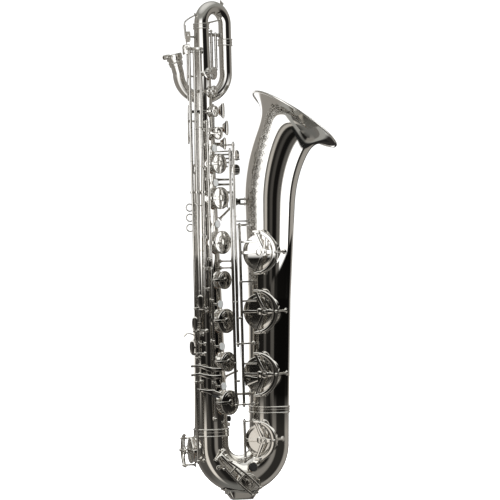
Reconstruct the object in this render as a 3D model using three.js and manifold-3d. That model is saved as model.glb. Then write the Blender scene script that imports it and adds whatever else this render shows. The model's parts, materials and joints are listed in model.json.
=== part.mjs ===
// Baritone saxophone without its neck: a conical body tube, U-shaped lower bow, bell, upper bow and
// pigtail loop, with stack, side, palm, table, bell and bow keys on steel hinge rods.
// Millimetres, +Z up, +X towards the bell, -Y the player's right. Everything is laid out around the
// body tube's axis, and the whole is then shifted so that the origin is the middle of the foot.
import * as THREE from "three";
import { mergeVertices } from "three/addons/utils/BufferGeometryUtils.js";
import Module from "manifold-3d";

const wasm = await Module();
wasm.setup();

// ---------------------------------------------------------------- driving dimensions
const GAP = 0.4; // clearance between neighbouring pieces
const WALL = 1.8; // sheet metal wall
const FINE = 16; // sides of a large tube
const COARSE = 8; // sides of a rod or a hinge tube

const BODY_FOOT = 145; // height of the body tube's lower end
const BODY_TOP = 1062;
const BODY_WIDE = 38.1; // radius at the lower end
const BODY_TAPER = 0.02377; // radius lost per millimetre of height

const BOW_Z = 122.6; // height of the lower bow's centre
const BOW_SPAN = 66.3; // radius of the lower bow's centre line
const BOW_MID = 42.5; // tube radius at the bottom of the bow
const BELL_FOOT = 198; // height where the bell tube leaves the bow
const BELL_NARROW = 44.6; // tube radius there
const BELL_MID_Z = 446;
const BELL_MID = 47.6; // tube radius at that height
const BELL_LEAN = 0.029; // slope of the bell's straight part

const BELL_BEND_Z = 663; // height where the bell starts to turn out
const BELL_BEND_WIDE = 56.4; // tube radius there
const BELL_BEND = 346; // radius of that turn
const BELL_TILT = 35; // angle of the rim, degrees
const RIM_RADIUS = 111;
const RIM_BEAD = 2.6;

const CROOK_TURN = 36.8; // radius of the upper bow's centre line
const CROOK_X = 63.1; // where the loop's right leg stands
const CROOK_Y = 38;
const CROOK_Z = 1068.5; // height where the upper bow starts to turn
const LOOP_TURN = 54.6; // radius of the pigtail loop's centre line
const LOOP_Z = 958; // height of the loop's centre
const LOOP_LEAN = 13; // lean of the loop's open end, degrees
const LOOP_RISE = 40; // length of the leaning end
const CROOK_WIDE = 15.5; // tube radii along the crook
const CROOK_MID = 14.2;
const LOOP_WIDE = 13.6;
const CROOK_NARROW = 13;

const CHIMNEY = 7; // tone-hole height above the tube
const CHIMNEY_INSET = 3; // how much smaller than its cup a chimney is
const CUP_THICK = 5;
const HINGE_OUTER = 3.2; // hinge tube
const HINGE_BORE = 2;
const ROD = 1.5; // steel rod in it
const EYE_BORE = 1.85; // post's hole for the rod
const EYE = 3.9; // radius of a post's eye
const EYE_LONG = 5;
const POST = 2.2;
const ARM_WIDE = 6;
const ARM_THICK = 3;

const STACK_FACING = -46; // direction the stack cups face, degrees from +X
const BELL_FACING = -125; // direction the bell cups face
const UPPER_STACK = [-1.2, -42]; // hinge lines, x and y
const LOWER_STACK = [-0.5, -47];
const SIDE_E_LINE = [-13.5, -37.7];
const SIDE_C_LINE = [-25.2, -31.1];
const SIDE_B_LINE = [-33.9, -21.2];
const PALM_LINE = [27, 19];
const BELL_LINE = [69, -32];
const TABLE_FLAT_LINE = [56, -44];
const TABLE_B_LINE = [48, -44];
const E_FLAT_LINE = [-40, -36];

// ---------------------------------------------------------------- finishes
const finish = (color, metalness, roughness) =>
  new THREE.MeshStandardMaterial({ color, metalness, roughness });
const nickel = () => finish(0xc9c7c2, 1, 0.14);
const steel = () => finish(0x9b9b9b, 1, 0.28);

// ---------------------------------------------------------------- solids
const X = new THREE.Vector3(1, 0, 0);
const Y = new THREE.Vector3(0, 1, 0);
const Z = new THREE.Vector3(0, 0, 1);
const at = (x, y, z) => new THREE.Vector3(x, y, z);
const turn = THREE.MathUtils.degToRad;
const ray = (degrees) => at(Math.cos(turn(degrees)), Math.sin(turn(degrees)), 0);
const toward = (from, to) => to.clone().sub(from).normalize();
const step = (from, direction, length) => from.clone().addScaledVector(direction, length);

// A closed geometry as a manifold solid, faces outwards.
function solid(geometry) {
  const bare = geometry.index ? geometry.toNonIndexed() : geometry.clone();
  bare.deleteAttribute("normal");
  bare.deleteAttribute("uv");
  const merged = mergeVertices(bare, 1e-4);
  const corners = merged.index.array;
  const faces = [];
  for (let i = 0; i < corners.length; i += 3) {
    const [a, b, c] = corners.slice(i, i + 3);
    if (a !== b && b !== c && c !== a) faces.push(a, b, c);
  }
  const build = (triVerts) =>
    new wasm.Manifold(
      new wasm.Mesh({
        numProp: 3,
        vertProperties: merged.attributes.position.array,
        triVerts: new Uint32Array(triVerts),
      }),
    );
  const made = build(faces);
  return made.volume() > 0 ? made : build(faces.reverse());
}

const join = (...solids) => solids.flat().reduce((sum, next) => sum.add(next));
const cut = (body, ...tools) => tools.flat().reduce((rest, tool) => rest.subtract(tool), body);

// Turns a geometry's +Y to a direction and moves it to a place.
function aim(geometry, place, direction) {
  const spin = new THREE.Quaternion().setFromUnitVectors(Y, direction);
  return solid(geometry.applyQuaternion(spin).translate(place.x, place.y, place.z));
}

// Round bar or cone from one point to another.
function round(from, to, radius, sides = COARSE, endRadius = radius) {
  const length = from.distanceTo(to);
  const bar = new THREE.CylinderGeometry(endRadius, radius, length, sides);
  return aim(bar.translate(0, length / 2, 0), from, toward(from, to));
}

// Flat bar from one point to another, its width along the given direction.
function flat(from, to, width, thickness, across) {
  const along = toward(from, to);
  const thin = new THREE.Vector3().crossVectors(along, across).normalize();
  const wide = new THREE.Vector3().crossVectors(thin, along);
  const length = from.distanceTo(to);
  const bar = new THREE.BoxGeometry(width, thickness, length);
  const middle = from.clone().lerp(to, 0.5);
  return solid(bar.applyMatrix4(new THREE.Matrix4().makeBasis(wide, thin, along)
    .setPosition(middle)));
}

// Flat bar through several points.
function strip(points, width, thickness, across) {
  const bars = points.slice(1).map((p, i) => flat(points[i], p, width, thickness, across));
  const knuckles = points.slice(1, -1).map((p) => round(
    step(p, across, -width / 2), step(p, across, width / 2), thickness / 2, 8));
  return join(bars, knuckles);
}

// A turned solid: its outline as [radius, height] pairs, standing on a place along a direction.
function lathe(outline, place, direction, sides) {
  const points = outline.map(([radius, height]) => new THREE.Vector2(radius, height));
  return aim(new THREE.LatheGeometry(points, sides), place, direction);
}

// A ring with a square section.
function ring(from, to, outer, inner, sides = FINE) {
  const along = toward(from, to);
  return cut(round(from, to, outer, sides),
    round(step(from, along, -1), step(to, along, 1), inner, sides));
}

// ---------------------------------------------------------------- tubes along flat paths
// A station is a point of the centre line, its direction and the tube's radius there.
const station = (place, along, radius) => ({ place, along, radius });

function arcStations(centre, start, end, radiusFrom, radiusTo, turnRadius, outwards, upwards, count) {
  return Array.from({ length: count + 1 }, (_, i) => {
    const t = i / count;
    const angle = start + (end - start) * t;
    const sense = Math.sign(end - start);
    const place = centre.clone()
      .addScaledVector(outwards, turnRadius * Math.cos(angle))
      .addScaledVector(upwards, turnRadius * Math.sin(angle));
    const along = outwards.clone().multiplyScalar(-Math.sin(angle) * sense)
      .addScaledVector(upwards, Math.cos(angle) * sense);
    return station(place, along, radiusFrom + (radiusTo - radiusFrom) * t);
  });
}

// Closed solid through the stations, thinner by `inset`, and longer by `extra` at both ends.
function swept(stations, across, inset = 0, extra = 0, sides = FINE) {
  const points = [];
  const faces = [];
  const last = stations.length - 1;
  stations.forEach(({ place, along, radius }, k) => {
    const shift = k === 0 ? -extra : k === last ? extra : 0;
    const side = new THREE.Vector3().crossVectors(along, across).normalize();
    for (let i = 0; i < sides; i++) {
      const angle = (2 * Math.PI * i) / sides;
      const spot = step(place, along, shift)
        .addScaledVector(across, (radius - inset) * Math.cos(angle))
        .addScaledVector(side, (radius - inset) * Math.sin(angle));
      points.push(spot.x, spot.y, spot.z);
    }
  });
  for (let k = 0; k < last; k++)
    for (let i = 0; i < sides; i++) {
      const j = (i + 1) % sides;
      const [a, b] = [k * sides + i, k * sides + j];
      faces.push(a, b, b + sides, a, b + sides, a + sides);
    }
  for (let i = 1; i < sides - 1; i++) {
    faces.push(0, i + 1, i);
    faces.push(last * sides, last * sides + i, last * sides + i + 1);
  }
  const tube = new THREE.BufferGeometry();
  tube.setAttribute("position", new THREE.Float32BufferAttribute(points, 3));
  return solid(tube.setIndex(faces));
}

const bodyRadius = (z) => BODY_WIDE - (z - BODY_FOOT) * BODY_TAPER;
const bodyStations = [BODY_FOOT, BODY_TOP].map((z) => station(at(0, 0, z), Z, bodyRadius(z)));

const bowCentre = at(BOW_SPAN, 0, BOW_Z);
const bowStations = [
  station(at(0, 0, BODY_FOOT - GAP), Z.clone().negate(), BODY_WIDE),
  ...arcStations(bowCentre, -Math.PI, -Math.PI / 2, BODY_WIDE, BOW_MID, BOW_SPAN, X, Z, 6),
  ...arcStations(bowCentre, -Math.PI / 2, 0, BOW_MID, BELL_NARROW, BOW_SPAN, X, Z, 6).slice(1),
  station(at(2 * BOW_SPAN + (BELL_FOOT - BOW_Z) * BELL_LEAN, 0, BELL_FOOT - GAP),
    at(BELL_LEAN, 0, 1).normalize(), BELL_NARROW),
];

const bellAxisX = (z) => 2 * BOW_SPAN + (z - BOW_Z) * BELL_LEAN;
// Tube radius against the distance from the rim along the centre line.
const flare = [[0, RIM_RADIUS], [3, 106], [8, 95], [15, 82], [28, 70], [60, 64.5], [120, 60.5],
  [207, BELL_BEND_WIDE]];
const flareRadius = (distance) => {
  const k = Math.max(1, flare.findIndex(([reach]) => reach >= distance));
  const [[d0, r0], [d1, r1]] = [flare[k - 1], flare[k]];
  return r0 + ((r1 - r0) * (distance - d0)) / (d1 - d0);
};
const bendStart = Math.atan(BELL_LEAN);
const bendCentre = at(bellAxisX(BELL_BEND_Z) + BELL_BEND * Math.cos(bendStart), 0,
  BELL_BEND_Z - BELL_BEND * Math.sin(bendStart));
const bendLength = BELL_BEND * (turn(BELL_TILT) - bendStart);
const bellStations = [
  station(at(bellAxisX(BELL_FOOT), 0, BELL_FOOT), at(BELL_LEAN, 0, 1).normalize(), BELL_NARROW),
  station(at(bellAxisX(BELL_MID_Z), 0, BELL_MID_Z), at(BELL_LEAN, 0, 1).normalize(), BELL_MID),
  ...flare.slice().reverse().map(([distance, radius]) => {
    const along = Math.max(0, bendLength - distance);
    const angle = Math.PI - bendStart - along / BELL_BEND;
    const place = at(bendCentre.x + BELL_BEND * Math.cos(angle), 0,
      bendCentre.z + BELL_BEND * Math.sin(angle));
    return station(place, at(Math.sin(angle), 0, -Math.cos(angle)), radius);
  }),
];

const crookWay = at(CROOK_X, CROOK_Y, 0).normalize();
const crookAcross = new THREE.Vector3().crossVectors(crookWay, Z);
const crookCentre = at(CROOK_X / 2, CROOK_Y / 2, CROOK_Z);
const CROOK_JOINT = 1028; // height where the upper bow meets the loop
const crookStations = [
  station(at(0, 0, BODY_TOP + GAP), Z, CROOK_WIDE),
  ...arcStations(crookCentre, Math.PI, 0, CROOK_WIDE, CROOK_MID, CROOK_TURN, crookWay, Z, 10),
  station(at(CROOK_X, CROOK_Y, CROOK_JOINT), Z.clone().negate(), CROOK_MID),
];
const loopCentre = at(CROOK_X - LOOP_TURN, CROOK_Y, LOOP_Z);
const receiverWay = at(-Math.sin(turn(LOOP_LEAN)), 0, Math.cos(turn(LOOP_LEAN)));
const loopShoulder = at(CROOK_X - 2 * LOOP_TURN, CROOK_Y, LOOP_Z);
const loopMouth = step(loopShoulder, receiverWay, LOOP_RISE);
// Half a turn, then a straight end that leans outwards from its shoulder.
const loopStations = [
  station(at(CROOK_X, CROOK_Y, CROOK_JOINT - GAP), Z.clone().negate(), CROOK_MID),
  ...arcStations(loopCentre, 0, -Math.PI, LOOP_WIDE, CROOK_NARROW, LOOP_TURN, X, Z, 13).slice(0, -1),
  station(loopShoulder, Z.clone().add(receiverWay).normalize(), CROOK_NARROW),
  station(loopMouth, receiverWay, CROOK_NARROW),
];

// ---------------------------------------------------------------- keys: shared measures
// A cup stands on an axis point, faces a direction, and closes at a distance from that point.
const bodyCup = (z, radius, facing = STACK_FACING) => ({
  axis: at(0, 0, z), facing: ray(facing), radius, seat: bodyRadius(z) + CHIMNEY,
});
const bellRadiusAt = (z) => (z < BELL_MID_Z
  ? THREE.MathUtils.mapLinear(z, BELL_FOOT, BELL_MID_Z, BELL_NARROW, BELL_MID)
  : THREE.MathUtils.mapLinear(z, BELL_MID_Z, BELL_BEND_Z, BELL_MID, BELL_BEND_WIDE));
const bellCup = (z, radius) => ({
  axis: at(bellAxisX(z), 0, z), facing: ray(BELL_FACING), radius, seat: bellRadiusAt(z) + CHIMNEY,
});

const cups = {
  small_c_key: bodyCup(821, 14.5),
  lh_b_key: bodyCup(753, 22.5),
  lh_a_key: bodyCup(676, 25),
  lh_g_key: bodyCup(577, 26),
  rh_f_sharp_key: bodyCup(493, 20.5),
  rh_f_key: bodyCup(402, 27.5),
  rh_e_key: bodyCup(311, 22.5),
  rh_d_key: bodyCup(220, 28),
  side_e_key: bodyCup(955, 14.5),
  side_c_key: bodyCup(915, 13),
  side_b_flat_key: bodyCup(870, 13),
  palm_f_key: bodyCup(869, 10, 95),
  palm_e_flat_key: bodyCup(840, 11, 95),
  palm_d_key: bodyCup(806, 11, 95),
  low_a_key: bellCup(553, 41),
  low_b_flat_key: bellCup(421, 41),
  low_b_key: bellCup(281, 41),
  low_c_sharp_key: { axis: at(2 * BOW_SPAN, 0, 134), facing: ray(BELL_FACING), radius: 36,
    seat: BELL_NARROW + CHIMNEY },
  low_e_flat_key: { axis: at(0, 0, 114), facing: ray(180), radius: 29, seat: BODY_WIDE + CHIMNEY },
  low_c_key: { axis: at(BOW_SPAN, 0, BOW_Z - BOW_SPAN), facing: at(0, -0.97, -0.243),
    radius: 20, seat: BOW_MID + CHIMNEY },
};

function chimneys(names) {
  const towers = [];
  const holes = [];
  for (const name of names) {
    const { axis, facing, radius, seat } = cups[name];
    const outer = radius - CHIMNEY_INSET;
    towers.push(round(step(axis, facing, outer / 3), step(axis, facing, seat), outer, 10));
    holes.push(round(step(axis, facing, outer / 3), step(axis, facing, seat + 1), outer - WALL, 10));
  }
  return { towers, holes };
}

// Posts brazed to a tube: a round stem from the tube's inside to the hinge line, and its eye.
function post(root, place, along = Z, bore = EYE_BORE, eye = EYE) {
  const [low, high] = [step(place, along, -EYE_LONG / 2), step(place, along, EYE_LONG / 2)];
  return {
    stem: round(root, place, POST, 5),
    eye: round(low, high, eye, 8),
    bore: round(step(low, along, -1), step(high, along, 1), bore, 8),
  };
}
const bodyPost = ([x, y], z, bore, eye) => {
  const inside = at(x, y, 0).normalize().multiplyScalar(bodyRadius(z) - 1);
  return post(inside.setZ(z), at(x, y, z), Z, bore, eye);
};

// A tube shell with chimneys and posts as one brazed piece.
function shell(outer, bore, names, posts) {
  const { towers, holes } = chimneys(names);
  const whole = join(outer, towers);
  const hollow = cut(whole, bore, holes);
  const stems = posts.map((p) => p.stem.add(p.eye));
  const outside = cut(join(hollow, stems), bore);
  return cut(outside, posts.map((p) => p.bore));
}

// ---------------------------------------------------------------- assembly helpers
const sax = new THREE.Group();
sax.position.x = -BOW_SPAN;

// Adds a solid as a named mesh of a group, its geometry relative to that group's place.
function add(name, body, material, group = sax) {
  const { vertProperties, triVerts, numVert } = body.getMesh();
  const geometry = new THREE.BufferGeometry();
  geometry.setAttribute("position", new THREE.BufferAttribute(vertProperties.slice(0, numVert * 3), 3));
  geometry.setIndex(new THREE.BufferAttribute(triVerts, 1));
  if (group !== sax) geometry.translate(-group.position.x, -group.position.y, -group.position.z);
  geometry.computeVertexNormals();
  const mesh = new THREE.Mesh(geometry, material);
  mesh.name = name;
  group.add(mesh);
}

// ---------------------------------------------------------------- tubes
const UPPER_POSTS = [846, 796, 719, 637, 541];
const LOWER_POSTS = [519, 449, 358, 266, 185];
const SIDE_TOP = 1003;
const GUIDE_BORE = HINGE_OUTER + 0.6;
const GUIDE_EYE = GUIDE_BORE + 1.8;
const SIDE_ENDS = { e: 424, c: 374, b: 320 };
const TABLE_FLAT_SPAN = [354, 790]; // lower and upper ends of the table levers' tubes
const TABLE_B_SPAN = [218, 776];
const sideLines = [SIDE_E_LINE, SIDE_C_LINE, SIDE_B_LINE];

const bodyPosts = [
  ...UPPER_POSTS.map((z) => bodyPost(UPPER_STACK, z)),
  ...LOWER_POSTS.map((z) => bodyPost(LOWER_STACK, z)),
  ...sideLines.map((line) => bodyPost(line, SIDE_TOP)),
  ...sideLines.map((line) => bodyPost(line, 690, GUIDE_BORE, GUIDE_EYE)),
  bodyPost(SIDE_E_LINE, SIDE_ENDS.e),
  bodyPost(SIDE_C_LINE, SIDE_ENDS.c),
  bodyPost(SIDE_B_LINE, SIDE_ENDS.b),
  bodyPost(PALM_LINE, 884),
  bodyPost(PALM_LINE, 786),
  bodyPost(E_FLAT_LINE, 268),
  bodyPost(TABLE_FLAT_LINE, TABLE_FLAT_SPAN[1] + 4),
  bodyPost(TABLE_B_LINE, TABLE_B_SPAN[1] + 4),
];
const LEVER_X = -30; // pivot lines of the two octave levers, along Y
const LEVER_Z = 850;
const ROCKER_Z = 950;
for (const z of [LEVER_Z, ROCKER_Z])
  for (const y of [-8.5, 8.5])
    bodyPosts.push(post(at(-bodyRadius(z) + 3, y, z), at(LEVER_X, y, z), Y));

const PIP_Z = 1012; // octave vent
const bodyShell = shell(swept(bodyStations, Y), swept(bodyStations, Y, WALL, 2),
  ["small_c_key", "lh_b_key", "lh_a_key", "lh_g_key", "rh_f_sharp_key", "rh_f_key", "rh_e_key",
    "rh_d_key", "side_e_key", "side_c_key", "side_b_flat_key", "palm_f_key", "palm_e_flat_key",
    "palm_d_key"], bodyPosts);
const pip = ring(at(-bodyRadius(PIP_Z) + 1, 0, PIP_Z), at(-bodyRadius(PIP_Z) - 6, 0, PIP_Z), 3, 1.5, 6);
add("body_tube", join(bodyShell, pip), nickel());

const bowSolid = swept(bowStations, Y);
const bowHollow = swept(bowStations, Y, WALL, 2);
const C_HINGE = at(8, -50, 104); // low C hinge, along a slope in the bow's plane
const C_WAY = at(0.684, 0, 0.729).normalize();
const cPost = (reach) => {
  const place = step(C_HINGE, C_WAY, reach);
  return post(at(place.x, -32, place.z), place, C_WAY);
};
const bowTowers = ["low_e_flat_key", "low_c_key", "low_c_sharp_key"];
const bowPosts = [
  cPost(-13),
  cPost(13),
  post(at(-12, -22, 92), at(...E_FLAT_LINE, 92)),
  post(at(106, -20, 176), at(...BELL_LINE, 176)),
  post(at(106, -20, 94), at(...BELL_LINE, 94)),
];
add("lower_bow", shell(bowSolid, bowHollow, bowTowers, bowPosts), nickel());

const BELL_POSTS = [614, 488, 350, 214];
const bellPosts = [];
for (const z of BELL_POSTS) {
  const root = step(at(bellAxisX(z), 0, z), toward(at(bellAxisX(z), 0, z), at(...BELL_LINE, z)),
    bellRadiusAt(z) - 1);
  bellPosts.push(post(root, at(...BELL_LINE, z)));
}
const tablePosts = [
  [TABLE_FLAT_LINE, TABLE_FLAT_SPAN[0] - 4],
  [TABLE_B_LINE, TABLE_B_SPAN[0] - 4],
];
for (const [[x, y], z] of tablePosts) {
  const axis = at(bellAxisX(z), 0, z);
  const root = step(axis, toward(axis, at(x, y, z)), bellRadiusAt(z) - 1);
  bellPosts.push(post(root, at(x, y, z)));
}
const bellTowers = ["low_a_key", "low_b_flat_key", "low_b_key"];
const rim = bellStations[bellStations.length - 1];
const bead = new THREE.TorusGeometry(rim.radius - 0.6, RIM_BEAD, 5, 26)
  .applyQuaternion(new THREE.Quaternion().setFromUnitVectors(Z, rim.along))
  .translate(rim.place.x, rim.place.y, rim.place.z);
add("bell", join(shell(swept(bellStations, Y, 0, 0, 22), swept(bellStations, Y, WALL, 2, 22),
  bellTowers, bellPosts), solid(bead)), nickel());

const hollowTube = (stations, across) => cut(swept(stations, across, 0, 0, 12),
  swept(stations, across, WALL, 2, 12));
add("upper_bow", hollowTube(crookStations, crookAcross), nickel());
add("pigtail_loop", hollowTube(loopStations, Y), nickel());

// Ferrules: sleeves over the joints between tubes.
const sleeve = (place, along, length, inner, thick, name) => add(name, ring(step(place, along,
  -length / 2), step(place, along, length / 2), inner + thick, inner), nickel());
sleeve(at(0, 0, BODY_FOOT + 8), Z, 18, BODY_WIDE + 1.2, 2.2, "body_bow_ferrule");
sleeve(at(bellAxisX(BELL_FOOT), 0, BELL_FOOT + 2), Z, 16, BELL_NARROW + 1.6, 2.2, "bell_bow_ferrule");
sleeve(at(0, 0, BODY_TOP), Z, 13, CROOK_WIDE + 1.4, 2, "body_crook_ferrule");
sleeve(at(CROOK_X, CROOK_Y, CROOK_JOINT), Z, 16, CROOK_MID + 0.7, 2, "crook_loop_ferrule");

// ---------------------------------------------------------------- neck receiver and its clamp screw
const COLLAR_LONG = 28;
const COLLAR_OUTER = 16.6;
const collarLow = step(loopMouth, receiverWay, -COLLAR_LONG + 6);
const collarHigh = step(loopMouth, receiverWay, 6);
const lugWay = ray(200); // the lugs stand out towards the player
const lugPlace = step(step(collarHigh, receiverWay, -7), lugWay, 19.5);
const lugs = flat(step(lugPlace, receiverWay, -5), step(lugPlace, receiverWay, 5), 9, 11, lugWay);
const slit = flat(step(step(collarHigh, receiverWay, 1), lugWay, 19), step(step(collarHigh,
  receiverWay, -15), lugWay, 19), 16, 2, lugWay);
const screwWay = new THREE.Vector3().crossVectors(lugWay, receiverWay).normalize();
const screwHole = round(step(lugPlace, screwWay, -10), step(lugPlace, screwWay, 10), 2);
add("neck_receiver", cut(join(ring(collarLow, collarHigh, COLLAR_OUTER, CROOK_NARROW + 0.6),
  lugs), slit, screwHole), nickel());
const screwHead = step(lugPlace, screwWay, -6.2);
add("receiver_screw", join(round(screwHead, step(lugPlace, screwWay, 8), 1.5),
  round(step(screwHead, screwWay, -4), step(screwHead, screwWay, 0.1), 4, 8),
  flat(step(screwHead, screwWay, -14), step(screwHead, screwWay, -3), 11, 2.4, Z)), nickel());

// ---------------------------------------------------------------- braces, rings, rests and foot
const BRACE_Z = 668;
const BRACE_Y = 11;
const braceBell = bellAxisX(BRACE_Z) - bellRadiusAt(BRACE_Z);
const braceBody = Math.sqrt(bodyRadius(BRACE_Z) ** 2 - (BRACE_Y - 5) ** 2) + GAP + 0.3;
const bracePlate = flat(at(braceBody, BRACE_Y, BRACE_Z), at(72, BRACE_Y, BRACE_Z), 14, 5, Z);
const prong = (rise) => round(at(70, BRACE_Y, BRACE_Z + rise / 2),
  at(braceBell - 1, BRACE_Y, BRACE_Z + rise), 2.2, 8);
add("bell_brace", join(bracePlate, prong(7), prong(-7)), nickel());

const LOW_BRACE_Z = 236;
const lowBraceEnd = bellAxisX(LOW_BRACE_Z) - BELL_NARROW - 0.8;
add("lower_brace", join(
  round(at(bodyRadius(LOW_BRACE_Z) + 0.5, BRACE_Y - 8, LOW_BRACE_Z), at(lowBraceEnd, 3, LOW_BRACE_Z),
    3, 8),
  round(at(lowBraceEnd - 3, 3, LOW_BRACE_Z), at(lowBraceEnd, 3, LOW_BRACE_Z), 7, 12)), nickel());

const LOOP_BRACE_Z = 1044;
const loopBraceFrom = step(at(0, 0, LOOP_BRACE_Z), crookWay, bodyRadius(LOOP_BRACE_Z) + 0.5);
const loopBraceTo = step(at(CROOK_X, CROOK_Y, LOOP_BRACE_Z), crookWay, -CROOK_MID - 0.8);
add("loop_brace", flat(loopBraceFrom, loopBraceTo, 10, 4, Z), nickel());

const FOOT_LONG = 46; // length of the flat foot
const GUARD_HALF = 46; // half length of the bow guard
const GUARD_WIDE = 48;
const guardSide = new THREE.Shape();
guardSide.moveTo(-GUARD_HALF, 31);
guardSide.lineTo(-FOOT_LONG / 2, 0);
guardSide.lineTo(FOOT_LONG / 2, 0);
guardSide.lineTo(GUARD_HALF, 31);
guardSide.lineTo(0, 40);
const guardBlock = new THREE.ExtrudeGeometry(guardSide, { depth: GUARD_WIDE, bevelEnabled: false })
  .rotateX(Math.PI / 2).translate(BOW_SPAN, GUARD_WIDE / 2, 0);
add("bow_guard", cut(solid(guardBlock), swept(bowStations, Y, -0.8)), nickel());

const RING_ZS = [656, 634, 612];
const RING_X = -37;
const ringBack = flat(at(-bodyRadius(RING_ZS[0]) - 1.8, 0, 668), at(-bodyRadius(RING_ZS[2]) - 1.8, 0,
  600), 9, 2, Y);
const loops = RING_ZS.map((z) => solid(new THREE.TorusGeometry(8, 1.5, 5, 10).rotateX(Math.PI / 2)
  .translate(RING_X, 0, z)));
add("strap_rings", join(ringBack, loops), nickel());

const HOOK_Z = 372;
const hookStart = -bodyRadius(HOOK_Z) - 0.5;
add("thumb_hook", join(
  flat(at(hookStart - 1.2, 0, HOOK_Z - 16), at(hookStart - 1.2, 0, HOOK_Z + 16), 14, 2, Y),
  strip([at(hookStart - 1, 0, HOOK_Z), at(hookStart - 18, 0, HOOK_Z + 3),
    at(hookStart - 24, 0, HOOK_Z - 3)], 12, 2.4, Y)), nickel());

const REST_Z = 742;
add("thumb_rest", lathe([[0, 0], [12, 0], [12, 2.5], [9, 4.5], [0, 5]],
  at(-bodyRadius(REST_Z) - 0.6, 0, REST_Z), ray(180), 16), nickel());

// ---------------------------------------------------------------- key guards
// A half ring over a cup's far side, a screw boss held by a spoke and two ribs, and three feet
// down to the tube.
const GUARD_BAND = 8;
const RIB_TURN = 94; // where the ribs meet the ring, degrees either side of the spoke
const GUARD_ARC = 1.75; // half the ring's angle, radians
function guard(name, rise, ringRadius, bossAside, footReach, footAngles, hand = 1) {
  const { axis, facing, seat } = cups[name];
  const upward = Math.abs(facing.z) > 0.1 ? at(1, 0, 0) : Z;
  const sideways = new THREE.Vector3().crossVectors(upward, facing).multiplyScalar(hand);
  const high = step(axis, facing, seat + rise);
  const spot = (degrees, radius) => high.clone()
    .addScaledVector(sideways, radius * Math.cos(turn(degrees)))
    .addScaledVector(upward, radius * Math.sin(turn(degrees)));
  const outline = new THREE.Shape();
  outline.absarc(0, 0, ringRadius + GUARD_BAND / 2, -GUARD_ARC, GUARD_ARC, false);
  outline.absarc(0, 0, ringRadius - GUARD_BAND / 2, GUARD_ARC, -GUARD_ARC, true);
  const half = new THREE.ExtrudeGeometry(outline, { depth: 3, bevelEnabled: false,
    curveSegments: 8 }).translate(0, 0, -1.5);
  const lift = facing.clone().multiplyScalar(hand); // keeps the basis right-handed
  half.applyMatrix4(new THREE.Matrix4().makeBasis(sideways, upward, lift).setPosition(high));
  const middle = spot(0, bossAside);
  const spoke = flat(middle, spot(0, ringRadius), 6, 3, upward);
  const ribs = [-RIB_TURN, RIB_TURN].map((degrees) => (
    flat(middle, spot(degrees, ringRadius), 5, 3, sideways)));
  const boss = round(step(middle, facing, -3), step(middle, facing, 5), 6.5, 8);
  const feet = footAngles.map((degrees, i) => {
    const top = spot(degrees, ringRadius);
    return round(top, step(top, facing, -footReach[i]), 2.2, 5);
  });
  add(name.replace("_key", "_guard"), join(solid(half), spoke, ribs, boss, feet), nickel());
}
guard("low_a_key", 22, 45, 17, [50, 28, 28], [0, 80, -80]);
guard("low_b_flat_key", 22, 45, 17, [55, 28, 28], [0, 80, -80]);
guard("low_b_key", 22, 45, 17, [58, 28, 28], [0, 80, -80]);
guard("low_c_sharp_key", 22, 40, 15, [46, 28, 26.6], [0, 80, -80]);
guard("low_e_flat_key", 17, 33, 0, [40, 23, 22], [0, 55, -80], -1);

// ---------------------------------------------------------------- steel rods
const rodAlong = (name, [x, y], low, high) => add(name, round(at(x, y, low), at(x, y, high), ROD, 8),
  steel());
rodAlong("upper_stack_rod", UPPER_STACK, 536, 851);
rodAlong("lower_stack_rod", LOWER_STACK, 180, 524);
rodAlong("side_e_rod", SIDE_E_LINE, SIDE_ENDS.e - 5, SIDE_TOP + 5);
rodAlong("side_c_rod", SIDE_C_LINE, SIDE_ENDS.c - 5, SIDE_TOP + 5);
rodAlong("side_b_flat_rod", SIDE_B_LINE, SIDE_ENDS.b - 5, SIDE_TOP + 5);
rodAlong("palm_rod", PALM_LINE, 782, 888);
rodAlong("bell_key_rod", BELL_LINE, 209, 619);
rodAlong("low_c_sharp_rod", BELL_LINE, 89, 181);
rodAlong("low_e_flat_rod", E_FLAT_LINE, 87, 273);
add("low_c_rod", round(step(C_HINGE, C_WAY, -17), step(C_HINGE, C_WAY, 17), ROD, 8), steel());

// ---------------------------------------------------------------- keys
// A key is drawn closed, in a group that stands on its hinge line and is turned open at rest.
// With a pin it turns on its own two pivots, otherwise its bore turns on a steel rod.
function hinged(name, place, axis, openAngle, parts, [low, high], pin = 0) {
  const group = new THREE.Group();
  group.position.copy(place);
  group.quaternion.setFromAxisAngle(axis, turn(openAngle));
  const barrel = round(step(place, axis, low), step(place, axis, high), HINGE_OUTER);
  const middle = pin
    ? round(step(place, axis, -pin), step(place, axis, pin), ROD, 8)
    : round(step(place, axis, low - 1), step(place, axis, high + 1), HINGE_BORE);
  const whole = join(barrel, parts);
  add(name, pin ? whole.add(middle) : whole.subtract(middle), nickel(), group);
  sax.add(group);
}

const CUP_LIFT = CUP_THICK + 1; // how far the arm's middle lies over the cup's face
function cupBody({ axis, facing, radius, seat }) {
  const face = step(axis, facing, seat + GAP);
  return lathe([[0, 0], [radius, 0], [radius, 3], [radius - 3.5, CUP_THICK], [0, CUP_THICK + 1]],
    face, facing, 12);
}

// The arm rises from the hinge over the cup's rim and runs to its middle.
function cupArm(cup, hinge, across = Z, waypoints = []) {
  const top = step(cup.axis, cup.facing, cup.seat + GAP + CUP_LIFT);
  const from = waypoints.length ? waypoints[waypoints.length - 1] : hinge;
  const knee = step(from, cup.facing, toward(from, top).dot(cup.facing) * from.distanceTo(top));
  return strip([hinge, ...waypoints, knee, top], ARM_WIDE, ARM_THICK, across);
}

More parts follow.
